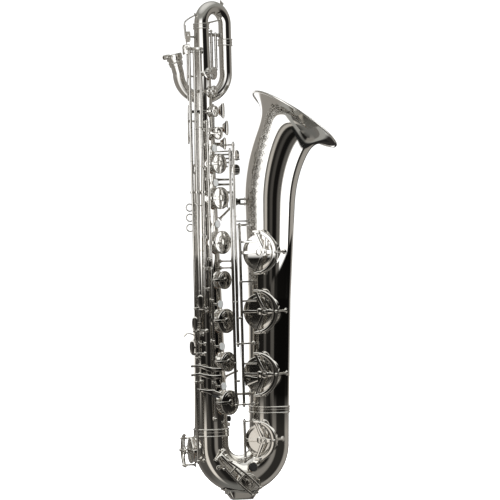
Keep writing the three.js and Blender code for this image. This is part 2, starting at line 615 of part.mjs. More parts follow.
// A key whose hinge line is parallel to Z: line, tube from and to, angle it stands open at rest.
function uprightKey(name, line, [low, high], openAngle, extras = [], waypoints = []) {
  const cup = cups[name];
  const hinge = at(...line, cup.axis.z);
  const parts = [cupBody(cup), cupArm(cup, hinge, Z, waypoints), ...extras];
  hinged(name, hinge, Z, openAngle, parts, [low - cup.axis.z, high - cup.axis.z]);
}

const PEARL = 8.5;
const PEARL_ASIDE = 9; // how far a finger touch stands to the side of its hinge
function fingerTouch(name, line, z) {
  const { facing, seat } = cups[name];
  const hinge = at(...line, z);
  const rise = seat + GAP + CUP_LIFT - hinge.clone().setZ(0).dot(facing);
  const over = step(hinge, facing, rise);
  const sideways = new THREE.Vector3().crossVectors(Z, facing);
  const middle = step(over, sideways, PEARL_ASIDE);
  return [strip([hinge, over, middle], 5, ARM_THICK, Z),
    round(step(middle, facing, -1), step(middle, facing, 3), PEARL, 8)];
}

const OPEN = 12; // how far a stack key stands open, degrees
const stackKeys = [
  ["small_c_key", UPPER_STACK, [799.5, 842.5], null],
  ["lh_b_key", UPPER_STACK, [722.5, 792.5], 787],
  ["lh_a_key", UPPER_STACK, [640.5, 715.5], 710],
  ["lh_g_key", UPPER_STACK, [544.5, 633.5], 618],
  ["rh_f_sharp_key", LOWER_STACK, [452.5, 515.5], null],
  ["rh_f_key", LOWER_STACK, [361.5, 445.5], 440],
  ["rh_e_key", LOWER_STACK, [269.5, 354.5], 346],
  ["rh_d_key", LOWER_STACK, [188.5, 262.5], 258],
];
for (const [name, line, tube, touchZ] of stackKeys)
  uprightKey(name, line, tube, -OPEN, touchZ ? fingerTouch(name, line, touchZ) : []);

// Side keys: closed at rest, long tubes, and a touch for the right hand at the lower end.
const sideTouch = (line, z, points, long = 30) => [
  strip([at(...line, z), ...points.map(([x, y]) => at(x, y, z))], 6, ARM_THICK, Z),
  flat(at(...points[points.length - 2], z), at(...points[points.length - 1], z), long, 3.5, Z)];
uprightKey("side_e_key", SIDE_E_LINE, [SIDE_ENDS.e + 3.5, SIDE_TOP - 3.5], 0,
  sideTouch(SIDE_E_LINE, 446, [[-21, -48], [-35, -44]]));
uprightKey("side_c_key", SIDE_C_LINE, [SIDE_ENDS.c + 3.5, SIDE_TOP - 3.5], 0,
  sideTouch(SIDE_C_LINE, 398, [[-34, -41], [-46, -36]]), [at(-6, -27, 915)]);
uprightKey("side_b_flat_key", SIDE_B_LINE, [SIDE_ENDS.b + 3.5, SIDE_TOP - 3.5], 0,
  sideTouch(SIDE_B_LINE, 345, [[-40, -28], [-50, -24]]), [at(-14, -27, 870), at(2, -29, 870)]);

// Palm keys: short, closed at rest, touches towards the bell.
const palmTouch = (z, reach, long) => [
  strip([at(...PALM_LINE, z), at(38, 16, z), at(reach, 13, z)], 6, ARM_THICK, Z),
  flat(at(reach - 1, 8, z), at(reach - 1, 20, z), long, 3.5, Z)];
uprightKey("palm_f_key", PALM_LINE, [858.5, 880.5], 0, palmTouch(873, 48, 30));
uprightKey("palm_e_flat_key", PALM_LINE, [824.5, 857.5], 0, palmTouch(834, 56, 30));
uprightKey("palm_d_key", PALM_LINE, [789.5, 823.5], 0, palmTouch(799, 50, 22));

// Bell keys: open at rest, except the low C sharp key.
const BELL_OPEN = 6;
uprightKey("low_a_key", BELL_LINE, [491.5, 610.5], -BELL_OPEN);
uprightKey("low_b_flat_key", BELL_LINE, [353.5, 484.5], -BELL_OPEN);
uprightKey("low_b_key", BELL_LINE, [217.5, 346.5], -BELL_OPEN);
uprightKey("low_c_sharp_key", BELL_LINE, [97.5, 172.5], 0);

// Table levers: long tubes between the bell and the body, with touches for the left little finger.
function tableLever(name, [x, y], [low, high], touchPoints, touchZ, fingerZ) {
  const touch = touchPoints.map(([tx, ty]) => at(tx, ty, touchZ));
  const finger = strip([at(x, y, fingerZ), at(x, y - 8, fingerZ), at(x + 8, y - 9, fingerZ)], 5,
    ARM_THICK, Z);
  const plate = flat(touch[touch.length - 2], touch[touch.length - 1], 26, 3, Z);
  const parts = [finger, strip([at(x, y, touchZ), ...touch], 6, ARM_THICK, Z), plate];
  hinged(name, at(x, y, low), Z, 0, parts, [0, high - low]);
}
tableLever("table_b_flat_lever", TABLE_FLAT_LINE, TABLE_FLAT_SPAN, [[52, -53], [69, -55]], 770, 408);
tableLever("table_b_lever", TABLE_B_LINE, TABLE_B_SPAN, [[49, -52], [68, -56]], 738, 268);

// Low E flat key: faces the player, a long tube up to its lever for the right little finger.
const eFlatTouch = [at(...E_FLAT_LINE, 250), at(-34, -51, 250), at(-12, -58, 246), at(8, -60, 240)];
uprightKey("low_e_flat_key", E_FLAT_LINE, [95.5, 264.5], 0, [strip(eFlatTouch, 8, ARM_THICK, Z)]);

// Low C key: its arm runs down across the bow.
const cCup = cups.low_c_key;
const cTop = step(cCup.axis, cCup.facing, cCup.seat + GAP + CUP_LIFT);
const cKnee = at(C_HINGE.x, C_HINGE.y - 6, C_HINGE.z);
hinged("low_c_key", C_HINGE, C_WAY, -7, [cupBody(cCup), strip([C_HINGE, cKnee, cTop], ARM_WIDE,
  ARM_THICK, C_WAY)], [-9.5, 9.5]);

// Octave mechanism: thumb lever below, rocker with the vent's pad and the neck's pin above.
const leverFace = LEVER_X - 4;
const LEVER_PIN = 12; // half length of a lever's pivots
hinged("octave_lever", at(LEVER_X, 0, LEVER_Z), Y, 0, [
  flat(at(leverFace, 0, LEVER_Z - 48), at(leverFace, 0, LEVER_Z + 36), 8, 2.4, Y),
  flat(at(leverFace - 1, 0, LEVER_Z - 50), at(leverFace - 1, 0, LEVER_Z - 26), 15, 3.4, Y),
], [-5.4, 5.4], LEVER_PIN);
const pipFace = -bodyRadius(PIP_Z) - 6 - GAP;
hinged("octave_rocker", at(LEVER_X, 0, ROCKER_Z), Y, 0, [
  flat(at(leverFace, 0, ROCKER_Z - 56), at(leverFace, 0, PIP_Z + 8), 6, 2.4, Y),
  round(at(pipFace, 0, PIP_Z), at(leverFace, 0, PIP_Z), 4.5, 10),
  round(at(leverFace, 0, PIP_Z + 4), at(leverFace - 3, 0, PIP_Z + 52), 1.5, 8),
], [-5.4, 5.4], LEVER_PIN);
const ROD_OVER = 10; // how far a rod runs past the tube on it
rodAlong("table_b_flat_rod", TABLE_FLAT_LINE, TABLE_FLAT_SPAN[0] - ROD_OVER,
  TABLE_FLAT_SPAN[1] + ROD_OVER);
rodAlong("table_b_rod", TABLE_B_LINE, TABLE_B_SPAN[0] - ROD_OVER, TABLE_B_SPAN[1] + ROD_OVER);

export default sax;
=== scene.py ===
"""Baritone saxophone in nickel plate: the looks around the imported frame, for Blender 4.5.

Every piece is built in millimetres around the body tube's axis, closed, and is turned to where its key
stands at rest. piece() moves it into the frame's own metres.
"""
import json
import math
import bmesh
import bpy
import numpy as np
from mathutils import Matrix, Vector


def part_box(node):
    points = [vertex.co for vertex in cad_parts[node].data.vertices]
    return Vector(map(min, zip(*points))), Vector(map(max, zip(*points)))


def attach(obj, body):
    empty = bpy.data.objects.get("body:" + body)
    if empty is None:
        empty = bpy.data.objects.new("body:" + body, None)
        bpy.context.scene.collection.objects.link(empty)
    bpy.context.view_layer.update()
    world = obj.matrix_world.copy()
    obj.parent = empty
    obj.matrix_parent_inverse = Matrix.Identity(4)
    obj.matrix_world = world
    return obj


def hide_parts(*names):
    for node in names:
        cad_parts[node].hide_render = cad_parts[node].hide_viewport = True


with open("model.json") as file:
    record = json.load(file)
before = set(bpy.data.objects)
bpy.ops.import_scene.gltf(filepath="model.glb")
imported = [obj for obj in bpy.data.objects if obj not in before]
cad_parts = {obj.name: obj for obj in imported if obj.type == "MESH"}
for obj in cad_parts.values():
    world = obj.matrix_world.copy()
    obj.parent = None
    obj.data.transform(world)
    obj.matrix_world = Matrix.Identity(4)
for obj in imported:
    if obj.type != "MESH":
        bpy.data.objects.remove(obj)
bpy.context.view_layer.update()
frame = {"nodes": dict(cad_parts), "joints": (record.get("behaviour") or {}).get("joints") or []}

# ---------------------------------------------------------------- driving dimensions, millimetres
# Places are worked out around the body tube's axis; the frame's x is that x less BOW_SPAN.
MM = 0.001
BOW_SPAN = 66.3  # from the body's axis, and from the bell's, to the middle of the lower bow
BOW_Z = 122.6
BOW_MID = 42.5
WALL = 1.5

BODY_FOOT, BODY_TOP = 145.0, 1062.0
BODY_WIDE, BODY_TAPER = 38.1, 0.02377  # radius at the foot, and its loss for each millimetre up

BELL_FOOT, BELL_NARROW, BELL_LEAN = 198.0, 44.6, 0.029
BELL_MID_Z, BELL_MID = 446.0, 47.6
BELL_BEND_Z, BELL_BEND_WIDE, BELL_BEND, BELL_TILT = 663.0, 56.4, 346.0, 35.0
RIM_RADIUS, RIM_BEAD = 111.0, 2.5
FLARE_WIDE, FLARE_FALL, FLARE_REACH = 64.8, 0.0405, 15.0

# The crook is the bend on top of the body; the loop below it ends in the neck's receiver.
CROOK_TURN, CROOK_X, CROOK_Y, CROOK_Z, CROOK_JOINT = 36.8, 63.1, 38.0, 1068.5, 1028.0
CROOK_WIDE, CROOK_MID, CROOK_NARROW = 15.5, 14.2, 13.0
LOOP_TURN, LOOP_Z, LOOP_LEAN, LOOP_RISE = 54.6, 958.0, 13.0, 40.0

CHIMNEY, CHIMNEY_INSET = 7.0, 3.0  # height of a tone hole, and how far its rim is inside its cup's
HINGE_OUTER, LEVER_OUTER, ROD = 3.1, 3.2, 1.5
PIP_Z = 1012.0  # octave vent
STACK_FACING, PALM_FACING, BELL_FACING = -46.0, 95.0, -125.0


def vec(*numbers):
    return np.array(numbers, float)


def unit(v):
    return v / np.linalg.norm(v)


def ray(degrees):
    return vec(math.cos(math.radians(degrees)), math.sin(math.radians(degrees)), 0)


X, Y, Z = vec(1, 0, 0), vec(0, 1, 0), vec(0, 0, 1)


def body_radius(z):
    return BODY_WIDE - (z - BODY_FOOT) * BODY_TAPER


def bell_x(z):
    return 2 * BOW_SPAN + (z - BOW_Z) * BELL_LEAN


def bell_radius(z):
    return float(np.interp(z, [BELL_FOOT, BELL_MID_Z, BELL_BEND_Z], [BELL_NARROW, BELL_MID, BELL_BEND_WIDE]))


# ---------------------------------------------------------------- mesh kit
class Part:
    """A mesh in the making: vertices in millimetres, and faces with a material number each."""

    def __init__(self):
        self.points, self.faces, self.slots, self.count = [], [], [], 0

    def add(self, points, faces, slot=0):
        points = np.asarray(points, float).reshape(-1, 3)
        self.points.append(points)
        self.faces += [tuple(i + self.count for i in f) for f in faces]
        self.slots += [slot] * len(faces)
        self.count += len(points)

    def turn(self, centre, axis, degrees):
        """Turns everything so far about an axis."""
        spin = np.array(Matrix.Rotation(math.radians(degrees), 3, Vector(axis)))
        self.points = [(p - centre) @ spin.T + centre for p in self.points]


def grid(rows, columns):
    """Quads over rows of points, each row closed on itself."""
    faces = []
    for k in range(rows - 1):
        for i in range(columns):
            j = (i + 1) % columns
            a, b = k * columns, (k + 1) * columns
            faces.append((a + i, a + j, b + j, b + i))
    return faces


def sides_of(direction):
    """Two directions square to this one."""
    helper = X if abs(direction[0]) < 0.8 else Y
    first = unit(np.cross(direction, helper))
    return first, np.cross(direction, first)


def revolve(part, profile, base, direction, sides=40, loop=False, slot=0):
    """Turned shape: (radius, height) pairs about a direction. A loop's profile closes on itself."""
    first, second = sides_of(unit(direction))
    angles = np.linspace(0, 2 * math.pi, sides, endpoint=False)
    circle = np.cos(angles)[:, None] * first + np.sin(angles)[:, None] * second
    outline = list(profile) + ([profile[0]] if loop else [])
    rows = [base + unit(direction) * h + circle * r for r, h in outline]
    faces = grid(len(rows), sides)
    if not loop:
        faces.append(tuple(range(sides)))
        faces.append(tuple(range((len(rows) - 1) * sides, len(rows) * sides)))
    part.add(np.concatenate(rows), faces, slot)


def bent(points, share=0.4, steps=6):
    """The polyline with its corners rounded."""
    points = [np.asarray(p, float) for p in points]
    path = [points[0]]
    for a, p, b in zip(points, points[1:], points[2:]):
        start, end = p + (a - p) * share, p + (b - p) * share
        for t in np.linspace(0, 1, steps):
            path.append((1 - t) ** 2 * start + 2 * t * (1 - t) * p + t * t * end)
    return np.array(path + [points[-1]])


def fade(count, shares, values):
    """`count` numbers that go evenly through the values, which stand at shares of the way."""
    return np.interp(np.linspace(0, 1, count), shares, values)


def straight(start, end, count):
    return [start + (end - start) * t for t in np.linspace(0, 1, count)]


def rounded(values, square):
    """Sines or cosines pushed out, where square < 1, from a circle's towards a square's."""
    return np.sign(values) * np.abs(values) ** square


def sweep(part, path, wide, thick=None, across=None, sides=16, square=1.0, slot=0):
    """Bar along a path: round, or flat with its width along `across`. square < 1 fills the corners.
    wide and thick are a number or one number for each point."""
    path = np.asarray(path, float)
    count = len(path)
    wide = np.broadcast_to(np.asarray(wide, float), count)
    thick = wide if thick is None else np.broadcast_to(np.asarray(thick, float), count)
    along = np.gradient(path, axis=0)
    along /= np.linalg.norm(along, axis=1)[:, None]
    angles = np.linspace(0, 2 * math.pi, sides, endpoint=False)
    rows = []
    carried = sides_of(along[0])[0] if across is None else np.asarray(across, float)
    for p, a, w, t in zip(path, along, wide, thick):
        thin = unit(np.cross(a, carried))
        broad = np.cross(thin, a)
        if across is None:
            carried = broad
        rows.append(p + np.outer(rounded(np.cos(angles), square) * w / 2, broad)
                    + np.outer(rounded(np.sin(angles), square) * t / 2, thin))
    faces = grid(count, sides)
    faces += [tuple(range(sides)), tuple(range((count - 1) * sides, count * sides))]
    part.add(np.concatenate(rows), faces, slot)


def ball(part, centre, radius, sides=20):
    heights = np.linspace(-math.pi / 2, math.pi / 2, 11)
    profile = [(max(radius * math.cos(h), 1e-4), radius * math.sin(h)) for h in heights]
    revolve(part, profile, centre, Z, sides)


def hoop(part, centre, normal, radius, thick, sides=48, around=12, stretch=1.0):
    """A ring of round wire."""
    angles = np.linspace(0, 2 * math.pi, around, endpoint=False)
    profile = [(radius + thick * math.cos(a), thick * stretch * math.sin(a)) for a in angles]
    revolve(part, profile, centre, normal, sides, loop=True)


def piece(name, part, materials, body="sax_body", replaced=(), sharp=38):
    """Makes the Blender object, in metres in the frame's own axes, and lets it ride on its body."""
    mesh = bpy.data.meshes.new(name)
    points = (np.concatenate(part.points) - vec(BOW_SPAN, 0, 0)) * MM
    mesh.from_pydata(points.tolist(), [], part.faces)
    for material in materials:
        mesh.materials.append(material)
    mesh.polygons.foreach_set("material_index", part.slots)
    work = bmesh.new()
    work.from_mesh(mesh)
    bmesh.ops.remove_doubles(work, verts=work.verts, dist=2e-7)
    bmesh.ops.dissolve_degenerate(work, edges=work.edges, dist=1e-7)
    bmesh.ops.recalc_face_normals(work, faces=work.faces)
    work.to_mesh(mesh)
    work.free()
    mesh.shade_smooth()
    mesh.set_sharp_from_angle(angle=math.radians(sharp))
    made = bpy.data.objects.new(name, mesh)
    bpy.context.scene.collection.objects.link(made)
    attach(made, body)
    if replaced:
        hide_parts(*replaced)


def fitting(name, part, *replaced):
    """A fixed piece in the keys' plating."""
    piece(name, part, [KEY], replaced=replaced)


# ---------------------------------------------------------------- materials
class Tree:
    """Short ways to join shader nodes."""

    def __init__(self, tree):
        self.tree = tree

    def make(self, kind, **values):
        node = self.tree.nodes.new(kind)
        for key, value in values.items():
            setattr(node, key, value)
        return node

    def link(self, source, target):
        self.tree.links.new(source, target)

    def feed(self, sockets, values):
        """Links what comes from a node, and sets what is a plain value."""
        for socket, value in zip(sockets, values):
            if hasattr(value, "links"):
                self.link(value, socket)
            else:
                socket.default_value = value

    def math(self, operation, first, second=0.0):
        made = self.make("ShaderNodeMath", operation=operation)
        self.feed(made.inputs, (first, second))
        return made.outputs[0]

    def times(self, first, second):
        return self.math("MULTIPLY", first, second)

    def plus(self, first, second):
        return self.math("ADD", first, second)

    def minus(self, first, second):
        return self.math("SUBTRACT", first, second)

    def less(self, first, second):
        return self.math("LESS_THAN", first, second)

    def mix(self, share, first, second):
        made = self.make("ShaderNodeMix", data_type="RGBA")
        self.feed([made.inputs[i] for i in (0, 6, 7)], (share, first, second))
        return made.outputs[2]

    def rise(self, value, low, high):
        """From 0 to 1 as the value goes from low to high."""
        made = self.make("ShaderNodeMapRange")
        self.feed(made.inputs, (value, low, high))
        return made.outputs[0]

    def split(self, vector):
        """The vector's x, y and z."""
        parts = self.make("ShaderNodeSeparateXYZ")
        self.link(vector, parts.inputs[0])
        return parts.outputs


class Nodes(Tree):
    """A material."""

    def __init__(self, name):
        self.material = bpy.data.materials.new(name)
        self.material.use_nodes = True
        super().__init__(self.material.node_tree)
        self.shader = self.tree.nodes["Principled BSDF"]
        self.place = self.make("ShaderNodeTexCoord").outputs["Object"]

    def noise(self, scale, detail=4.0, roughness=0.55, stretch=(1, 1, 1), distortion=0.0):
        spread = self.make("ShaderNodeMapping")
        spread.inputs["Scale"].default_value = stretch
        self.link(self.place, spread.inputs["Vector"])
        made = self.make("ShaderNodeTexNoise")
        for key, value in (("Scale", scale), ("Detail", detail), ("Roughness", roughness),
                           ("Distortion", distortion)):
            made.inputs[key].default_value = value
        self.link(spread.outputs["Vector"], made.inputs["Vector"])
        return made.outputs["Fac"]

    def ramp(self, source, low, high, start=0.0, end=1.0):
        """Numbers or colours from `low` to `high` as the source goes from start to end."""
        made = self.make("ShaderNodeValToRGB")
        bottom, top = made.color_ramp.elements
        for element, place, value in ((bottom, start, low), (top, end, high)):
            element.position = place
            element.color = (*value, 1) if isinstance(value, tuple) else (value, value, value, 1)
        self.link(source, made.inputs["Fac"])
        return made.outputs["Color"]

    def bump(self, height, distance, strength=1.0, before=None):
        made = self.make("ShaderNodeBump")
        made.inputs["Strength"].default_value = strength
        made.inputs["Distance"].default_value = distance
        self.link(height, made.inputs["Height"])
        if before is not None:
            self.link(before, made.inputs["Normal"])
        return made.outputs["Normal"]

    def finish(self, colour, roughness=None, normal=None, **values):
        for key, value in values.items():
            self.shader.inputs[key.replace("_", " ")].default_value = value
        for key, source in (("Base Color", colour), ("Roughness", roughness), ("Normal", normal)):
            if source is not None:
                self.link(source, self.shader.inputs[key])
        return self.material


def plated(name, light, dark, smooth=0.045, hazy=0.16, engraved=False):
    """Polished nickel plate: cloudy haze, fine wipe marks, thin tarnish in drifts and tiny pits."""
    n = Nodes(name)
    cloud = n.noise(7, 4, 0.55)
    drift = n.ramp(n.noise(26, 6, 0.62, distortion=0.6), 0.0, 1.0, 0.55, 0.78)
    specks = n.ramp(n.noise(700, 2, 0.5), 0.0, 1.0, 0.72, 0.80)
    colour = n.mix(n.ramp(cloud, 0.0, 1.0, 0.3, 0.72), (*light, 1), (*dark, 1))
    colour = n.mix(n.times(drift, 0.22), colour, (0.50, 0.45, 0.36, 1))
    colour = n.mix(n.times(specks, 0.3), colour, (0.34, 0.31, 0.27, 1))
    wipes = n.noise(240, 3, 0.55, stretch=(1, 1, 0.07))
    rough = n.ramp(cloud, smooth, hazy * 0.55, 0.3, 0.75)
    rough = n.mix(n.times(drift, 0.4), rough, (hazy, hazy, hazy, 1))
    rough = n.mix(n.ramp(wipes, 0.0, 0.25, 0.5, 0.7), rough, (hazy, hazy, hazy, 1))
    normal = n.bump(wipes, 0.00001, 0.15)
    normal = n.bump(n.noise(16, 1, 0.3), 0.0005, 0.05, normal)
    if engraved:
        colour, rough, normal = engraving(n, colour, rough, normal)
    return n.finish(colour, rough, normal, Metallic=1.0)


# The engraved garland, in metres: its ends, its middle line, half its width, and the pattern inside it.
ENGRAVED_LOW, ENGRAVED_HIGH = 0.48, 0.872
ENGRAVED_ASIDE, ENGRAVED_HALF, ENGRAVED_BORDER = 0.0168, 0.0068, 0.0061
ENGRAVED_TURN_Z, ENGRAVED_TURN = 0.74, 1.3  # above this height the garland turns back to the body's side
ENGRAVED_REPEAT, VINE_WAVE, LINE_HALF = 0.017, 0.003, 0.0006
PETALS, PETAL_DEPTH, FLOWER, FLOWER_HEART = 6, 0.0011, 0.0042, 0.0013


def engraving(n, colour, rough, normal):
    """Hand-cut garland down the bell's side next to the body: a vine with a flower in every wave."""
    x, y, z = n.split(n.place)
    # The garland's middle line follows the bell's lean and then its bend.
    rise = n.math("MAXIMUM", n.minus(z, BELL_BEND_Z * MM), 0.0)
    bend = n.times(n.times(rise, rise), 0.5 / (BELL_BEND * MM))
    line = n.plus(n.times(z, BELL_LEAN), bend)
    over = n.math("MAXIMUM", n.minus(z, ENGRAVED_TURN_Z), 0.0)
    line = n.minus(line, n.times(n.times(over, over), ENGRAVED_TURN))
    aside = n.minus(x, n.plus(line, ENGRAVED_ASIDE))
    mask = n.times(n.less(y, 0.0), n.less(n.math("ABSOLUTE", aside), ENGRAVED_HALF))
    mask = n.times(mask, n.math("GREATER_THAN", z, ENGRAVED_LOW))
    mask = n.times(mask, n.less(z, ENGRAVED_HIGH))
    wave = n.times(n.math("SINE", n.times(z, 2 * math.pi / ENGRAVED_REPEAT)), VINE_WAVE)
    vine = n.less(n.math("ABSOLUTE", n.minus(aside, wave)), LINE_HALF)
    along = n.minus(n.math("MODULO", z, ENGRAVED_REPEAT), ENGRAVED_REPEAT / 2)
    reach = n.math("SQRT", n.plus(n.times(along, along), n.times(aside, aside)))
    turned = n.math("ARCTAN2", along, aside)
    petals = n.times(n.math("COSINE", n.times(turned, PETALS)), PETAL_DEPTH)
    outline = n.math("ABSOLUTE", n.minus(reach, n.plus(petals, FLOWER)))
    flower = n.math("MAXIMUM", n.less(outline, LINE_HALF), n.less(reach, FLOWER_HEART))
    stipple = n.ramp(n.noise(1500, 2, 0.5), 0.0, 1.0, 0.5, 0.62)
    edge = n.math("GREATER_THAN", n.math("ABSOLUTE", aside), ENGRAVED_BORDER)
    cut = n.math("MAXIMUM", n.math("MAXIMUM", vine, flower), n.times(edge, stipple))
    cut = n.times(n.math("MAXIMUM", cut, n.times(stipple, 0.25)), mask)
    colour = n.mix(n.times(cut, 0.8), colour, (0.14, 0.13, 0.11, 1))
    rough = n.mix(cut, rough, (0.45, 0.45, 0.45, 1))
    normal = n.bump(n.minus(1.0, cut), 0.0004, 0.6, normal)
    return colour, rough, normal


def steel():
    n = Nodes("ground_steel")
    grain = n.noise(900, 4, 0.6, stretch=(1, 1, 0.03))
    patch = n.noise(45, 5, 0.6)
    colour = n.mix(n.ramp(patch, 0.0, 1.0, 0.35, 0.7), (0.50, 0.50, 0.49, 1), (0.36, 0.35, 0.33, 1))
    rough = n.ramp(grain, 0.2, 0.38, 0.35, 0.65)
    return n.finish(colour, rough, n.bump(grain, 0.00003, 0.4), Metallic=1.0)


def leather():
    n = Nodes("pad_leather")
    grain = n.make("ShaderNodeTexVoronoi", feature="DISTANCE_TO_EDGE")
    grain.inputs["Scale"].default_value = 900
    n.link(n.place, grain.inputs["Vector"])
    height = n.ramp(grain.outputs["Distance"], 0.0, 1.0, 0.0, 0.25)
    blotch = n.noise(110, 6, 0.6)
    colour = n.mix(n.ramp(blotch, 0.0, 1.0, 0.3, 0.7), (0.30, 0.155, 0.08, 1), (0.17, 0.08, 0.04, 1))
    rough = n.ramp(blotch, 0.48, 0.68, 0.3, 0.7)
    normal = n.bump(height, 0.00015, 0.6)
    return n.finish(colour, rough, n.bump(n.noise(240, 3), 0.0002, 0.4, normal))


def pearl():
    n = Nodes("mother_of_pearl")
    waves = n.noise(260, 6, 0.65, distortion=1.6)
    tint = n.noise(150, 3, 0.5, distortion=2.5)
    colour = n.mix(n.ramp(waves, 0.0, 1.0, 0.35, 0.7), (0.42, 0.42, 0.40, 1), (0.26, 0.29, 0.30, 1))
    colour = n.mix(n.ramp(tint, 0.0, 0.6, 0.5, 0.75), colour, (0.40, 0.32, 0.34, 1))
    rough = n.ramp(waves, 0.12, 0.26, 0.3, 0.7)
    return n.finish(colour, rough, n.bump(waves, 0.00006, 0.4), Coat_Weight=0.6, Coat_Roughness=0.06)


def soft(name, light, dark, scale, rough=0.9, depth=0.0004):
    """Felt, cork or rubber."""
    n = Nodes(name)
    fibre = n.noise(scale, 8, 0.75)
    colour = n.mix(n.ramp(fibre, 0.0, 1.0, 0.35, 0.65), (*light, 1), (*dark, 1))
    return n.finish(colour, n.ramp(fibre, rough - 0.12, rough, 0.3, 0.7), n.bump(fibre, depth, 0.8))


TUBE = plated("tube_nickel", (0.80, 0.785, 0.755), (0.70, 0.685, 0.655))
BELL_PLATE = plated("bell_nickel", (0.80, 0.785, 0.755), (0.71, 0.695, 0.665), engraved=True)
KEY = plated("key_nickel", (0.79, 0.775, 0.745), (0.64, 0.625, 0.595), 0.07, 0.26)
INNER = plated("bore_nickel", (0.42, 0.40, 0.36), (0.26, 0.245, 0.22), 0.28, 0.5)
STEEL = steel()
LEATHER = leather()
PEARL = pearl()
FELT = soft("bumper_felt", (0.10, 0.075, 0.06), (0.045, 0.035, 0.03), 1500)
CORK = soft("cork", (0.42, 0.26, 0.14), (0.20, 0.11, 0.055), 700, 0.85)
RUBBER = soft("black_rubber", (0.03, 0.03, 0.03), (0.012, 0.012, 0.012), 900, 0.5, 0.0001)

# ---------------------------------------------------------------- tubes
joints = {j["child"]: j for j in frame["joints"]}


def hinge_of(body):
    """Hinge point and axis of a moving body, in millimetres around the body tube."""
    joint = joints[body]
    return np.array(joint["pos_m"]) / MM + vec(BOW_SPAN, 0, 0), unit(np.array(joint["axis"], float))


class Cup:
    """Where a key's cup closes: it stands on a point of a tube's axis and faces outwards."""

    def __init__(self, axis, facing, radius, tube, along=Z):
        self.axis, self.facing, self.radius, self.tube = axis, unit(facing), radius, tube
        self.seat = tube + CHIMNEY
        self.along = along
        self.aside = unit(np.cross(along, self.facing))

    def spot(self, height):
        return self.axis + self.facing * height


def body_cup(z, radius, facing=STACK_FACING):
    return Cup(vec(0, 0, z), ray(facing), radius, body_radius(z))


def bell_cup(z, radius):
    return Cup(vec(bell_x(z), 0, z), ray(BELL_FACING), radius, bell_radius(z))


C_SLOPE = vec(0, -0.97, -0.243)
# Heights and radii of the cups on the body, on the bell and on the bow.
body_cups = {
    "small_c_key": body_cup(821, 14.5), "lh_b_key": body_cup(753, 22.5),
    "lh_a_key": body_cup(676, 25), "lh_g_key": body_cup(577, 26),
    "rh_f_sharp_key": body_cup(493, 20.5), "rh_f_key": body_cup(402, 27.5),
    "rh_e_key": body_cup(311, 22.5), "rh_d_key": body_cup(220, 28),
    "side_e_key": body_cup(955, 14.5), "side_c_key": body_cup(915, 13),
    "side_b_flat_key": body_cup(870, 13), "palm_f_key": body_cup(869, 10, PALM_FACING),
    "palm_e_flat_key": body_cup(840, 11, PALM_FACING), "palm_d_key": body_cup(806, 11, PALM_FACING),
}
bell_cups = {"low_a_key": bell_cup(553, 41), "low_b_flat_key": bell_cup(421, 41),
             "low_b_key": bell_cup(281, 41)}
bow_cups = {
    "low_c_sharp_key": Cup(vec(2 * BOW_SPAN, 0, 134), ray(BELL_FACING), 36, BELL_NARROW),
    "low_e_flat_key": Cup(vec(0, 0, 114), -X, 29, BODY_WIDE),
    "low_c_key": Cup(vec(BOW_SPAN, 0, BOW_Z - BOW_SPAN), C_SLOPE, 20, BOW_MID, X),
}
cups = {**body_cups, **bell_cups, **bow_cups}
OPEN_AT_REST = ["small_c_key", "lh_b_key", "lh_a_key", "lh_g_key", "rh_f_sharp_key", "rh_f_key",
                "rh_e_key", "rh_d_key", "low_a_key", "low_b_flat_key", "low_b_key", "low_c_key"]


def rest_turn(key):
    """Angle from closed to where the key stands at rest."""
    return -joints[key]["range_deg"][1] if key in OPEN_AT_REST else 0.0


def arc(centre, start, end, radius, outwards, upwards, count):
    """Points and directions along a circular bend."""
    angles = np.linspace(start, end, count + 1)
    sense = np.sign(end - start)
    places = [centre + radius * (math.cos(a) * outwards + math.sin(a) * upwards) for a in angles]
    ways = [sense * (-math.sin(a) * outwards + math.cos(a) * upwards) for a in angles]
    return list(zip(places, ways))


def tube_shell(part, centres, radii, across, sides, holes=(), bore=1):
    """Open tube with a wall. Round openings are left out where the tone holes stand."""
    angles = np.linspace(0, 2 * math.pi, sides, endpoint=False)
    outer, inner = [], []
    for (place, way), radius in zip(centres, radii):
        side = unit(np.cross(way, across))
        circle = np.cos(angles)[:, None] * across + np.sin(angles)[:, None] * side
        outer.append(place + circle * radius)
        inner.append(place + circle * (radius - WALL))
    rows = len(outer)
    points = np.concatenate(outer + inner)
    half = rows * sides
    cells = np.ones((rows - 1, sides), bool)
    lattice = points[:half].reshape(rows, sides, 3)
    middle = (lattice[:-1] + lattice[1:]) / 2
    middle = (middle + np.roll(middle, -1, axis=1)) / 2
    for cup in holes:
        offset = middle - cup.axis
        height = offset @ cup.facing
        reach = np.linalg.norm(offset - height[..., None] * cup.facing, axis=2)
        cells &= ~((height > 0) & (reach < cup.radius - CHIMNEY_INSET - WALL))
    faces, slots = [], []

    def quad(a, b, c, d, slot):
        faces.append((a, b, c, d))
        slots.append(slot)

    for k in range(rows - 1):
        for i in range(sides):
            j = (i + 1) % sides
            a, b, c, d = k * sides + i, k * sides + j, (k + 1) * sides + j, (k + 1) * sides + i
            if cells[k, i]:
                quad(a, b, c, d, 0)
                quad(a + half, d + half, c + half, b + half, bore)
            for open_cell, (p, q) in (((k, (i - 1) % sides), (a, d)), ((k, j), (b, c)),
                                      ((k - 1, i), (a, b)), ((k + 1, i), (d, c))):
                if cells[k, i] and 0 <= open_cell[0] < rows - 1 and not cells[open_cell]:
                    quad(p, q, q + half, p + half, bore)
    for i in range(sides):
        j = (i + 1) % sides
        end = (rows - 1) * sides
        quad(i, j, j + half, i + half, 0)
        quad(end + i, end + i + half, end + j + half, end + j, 0)
    part.add(points, faces)
    part.slots[-len(faces):] = slots


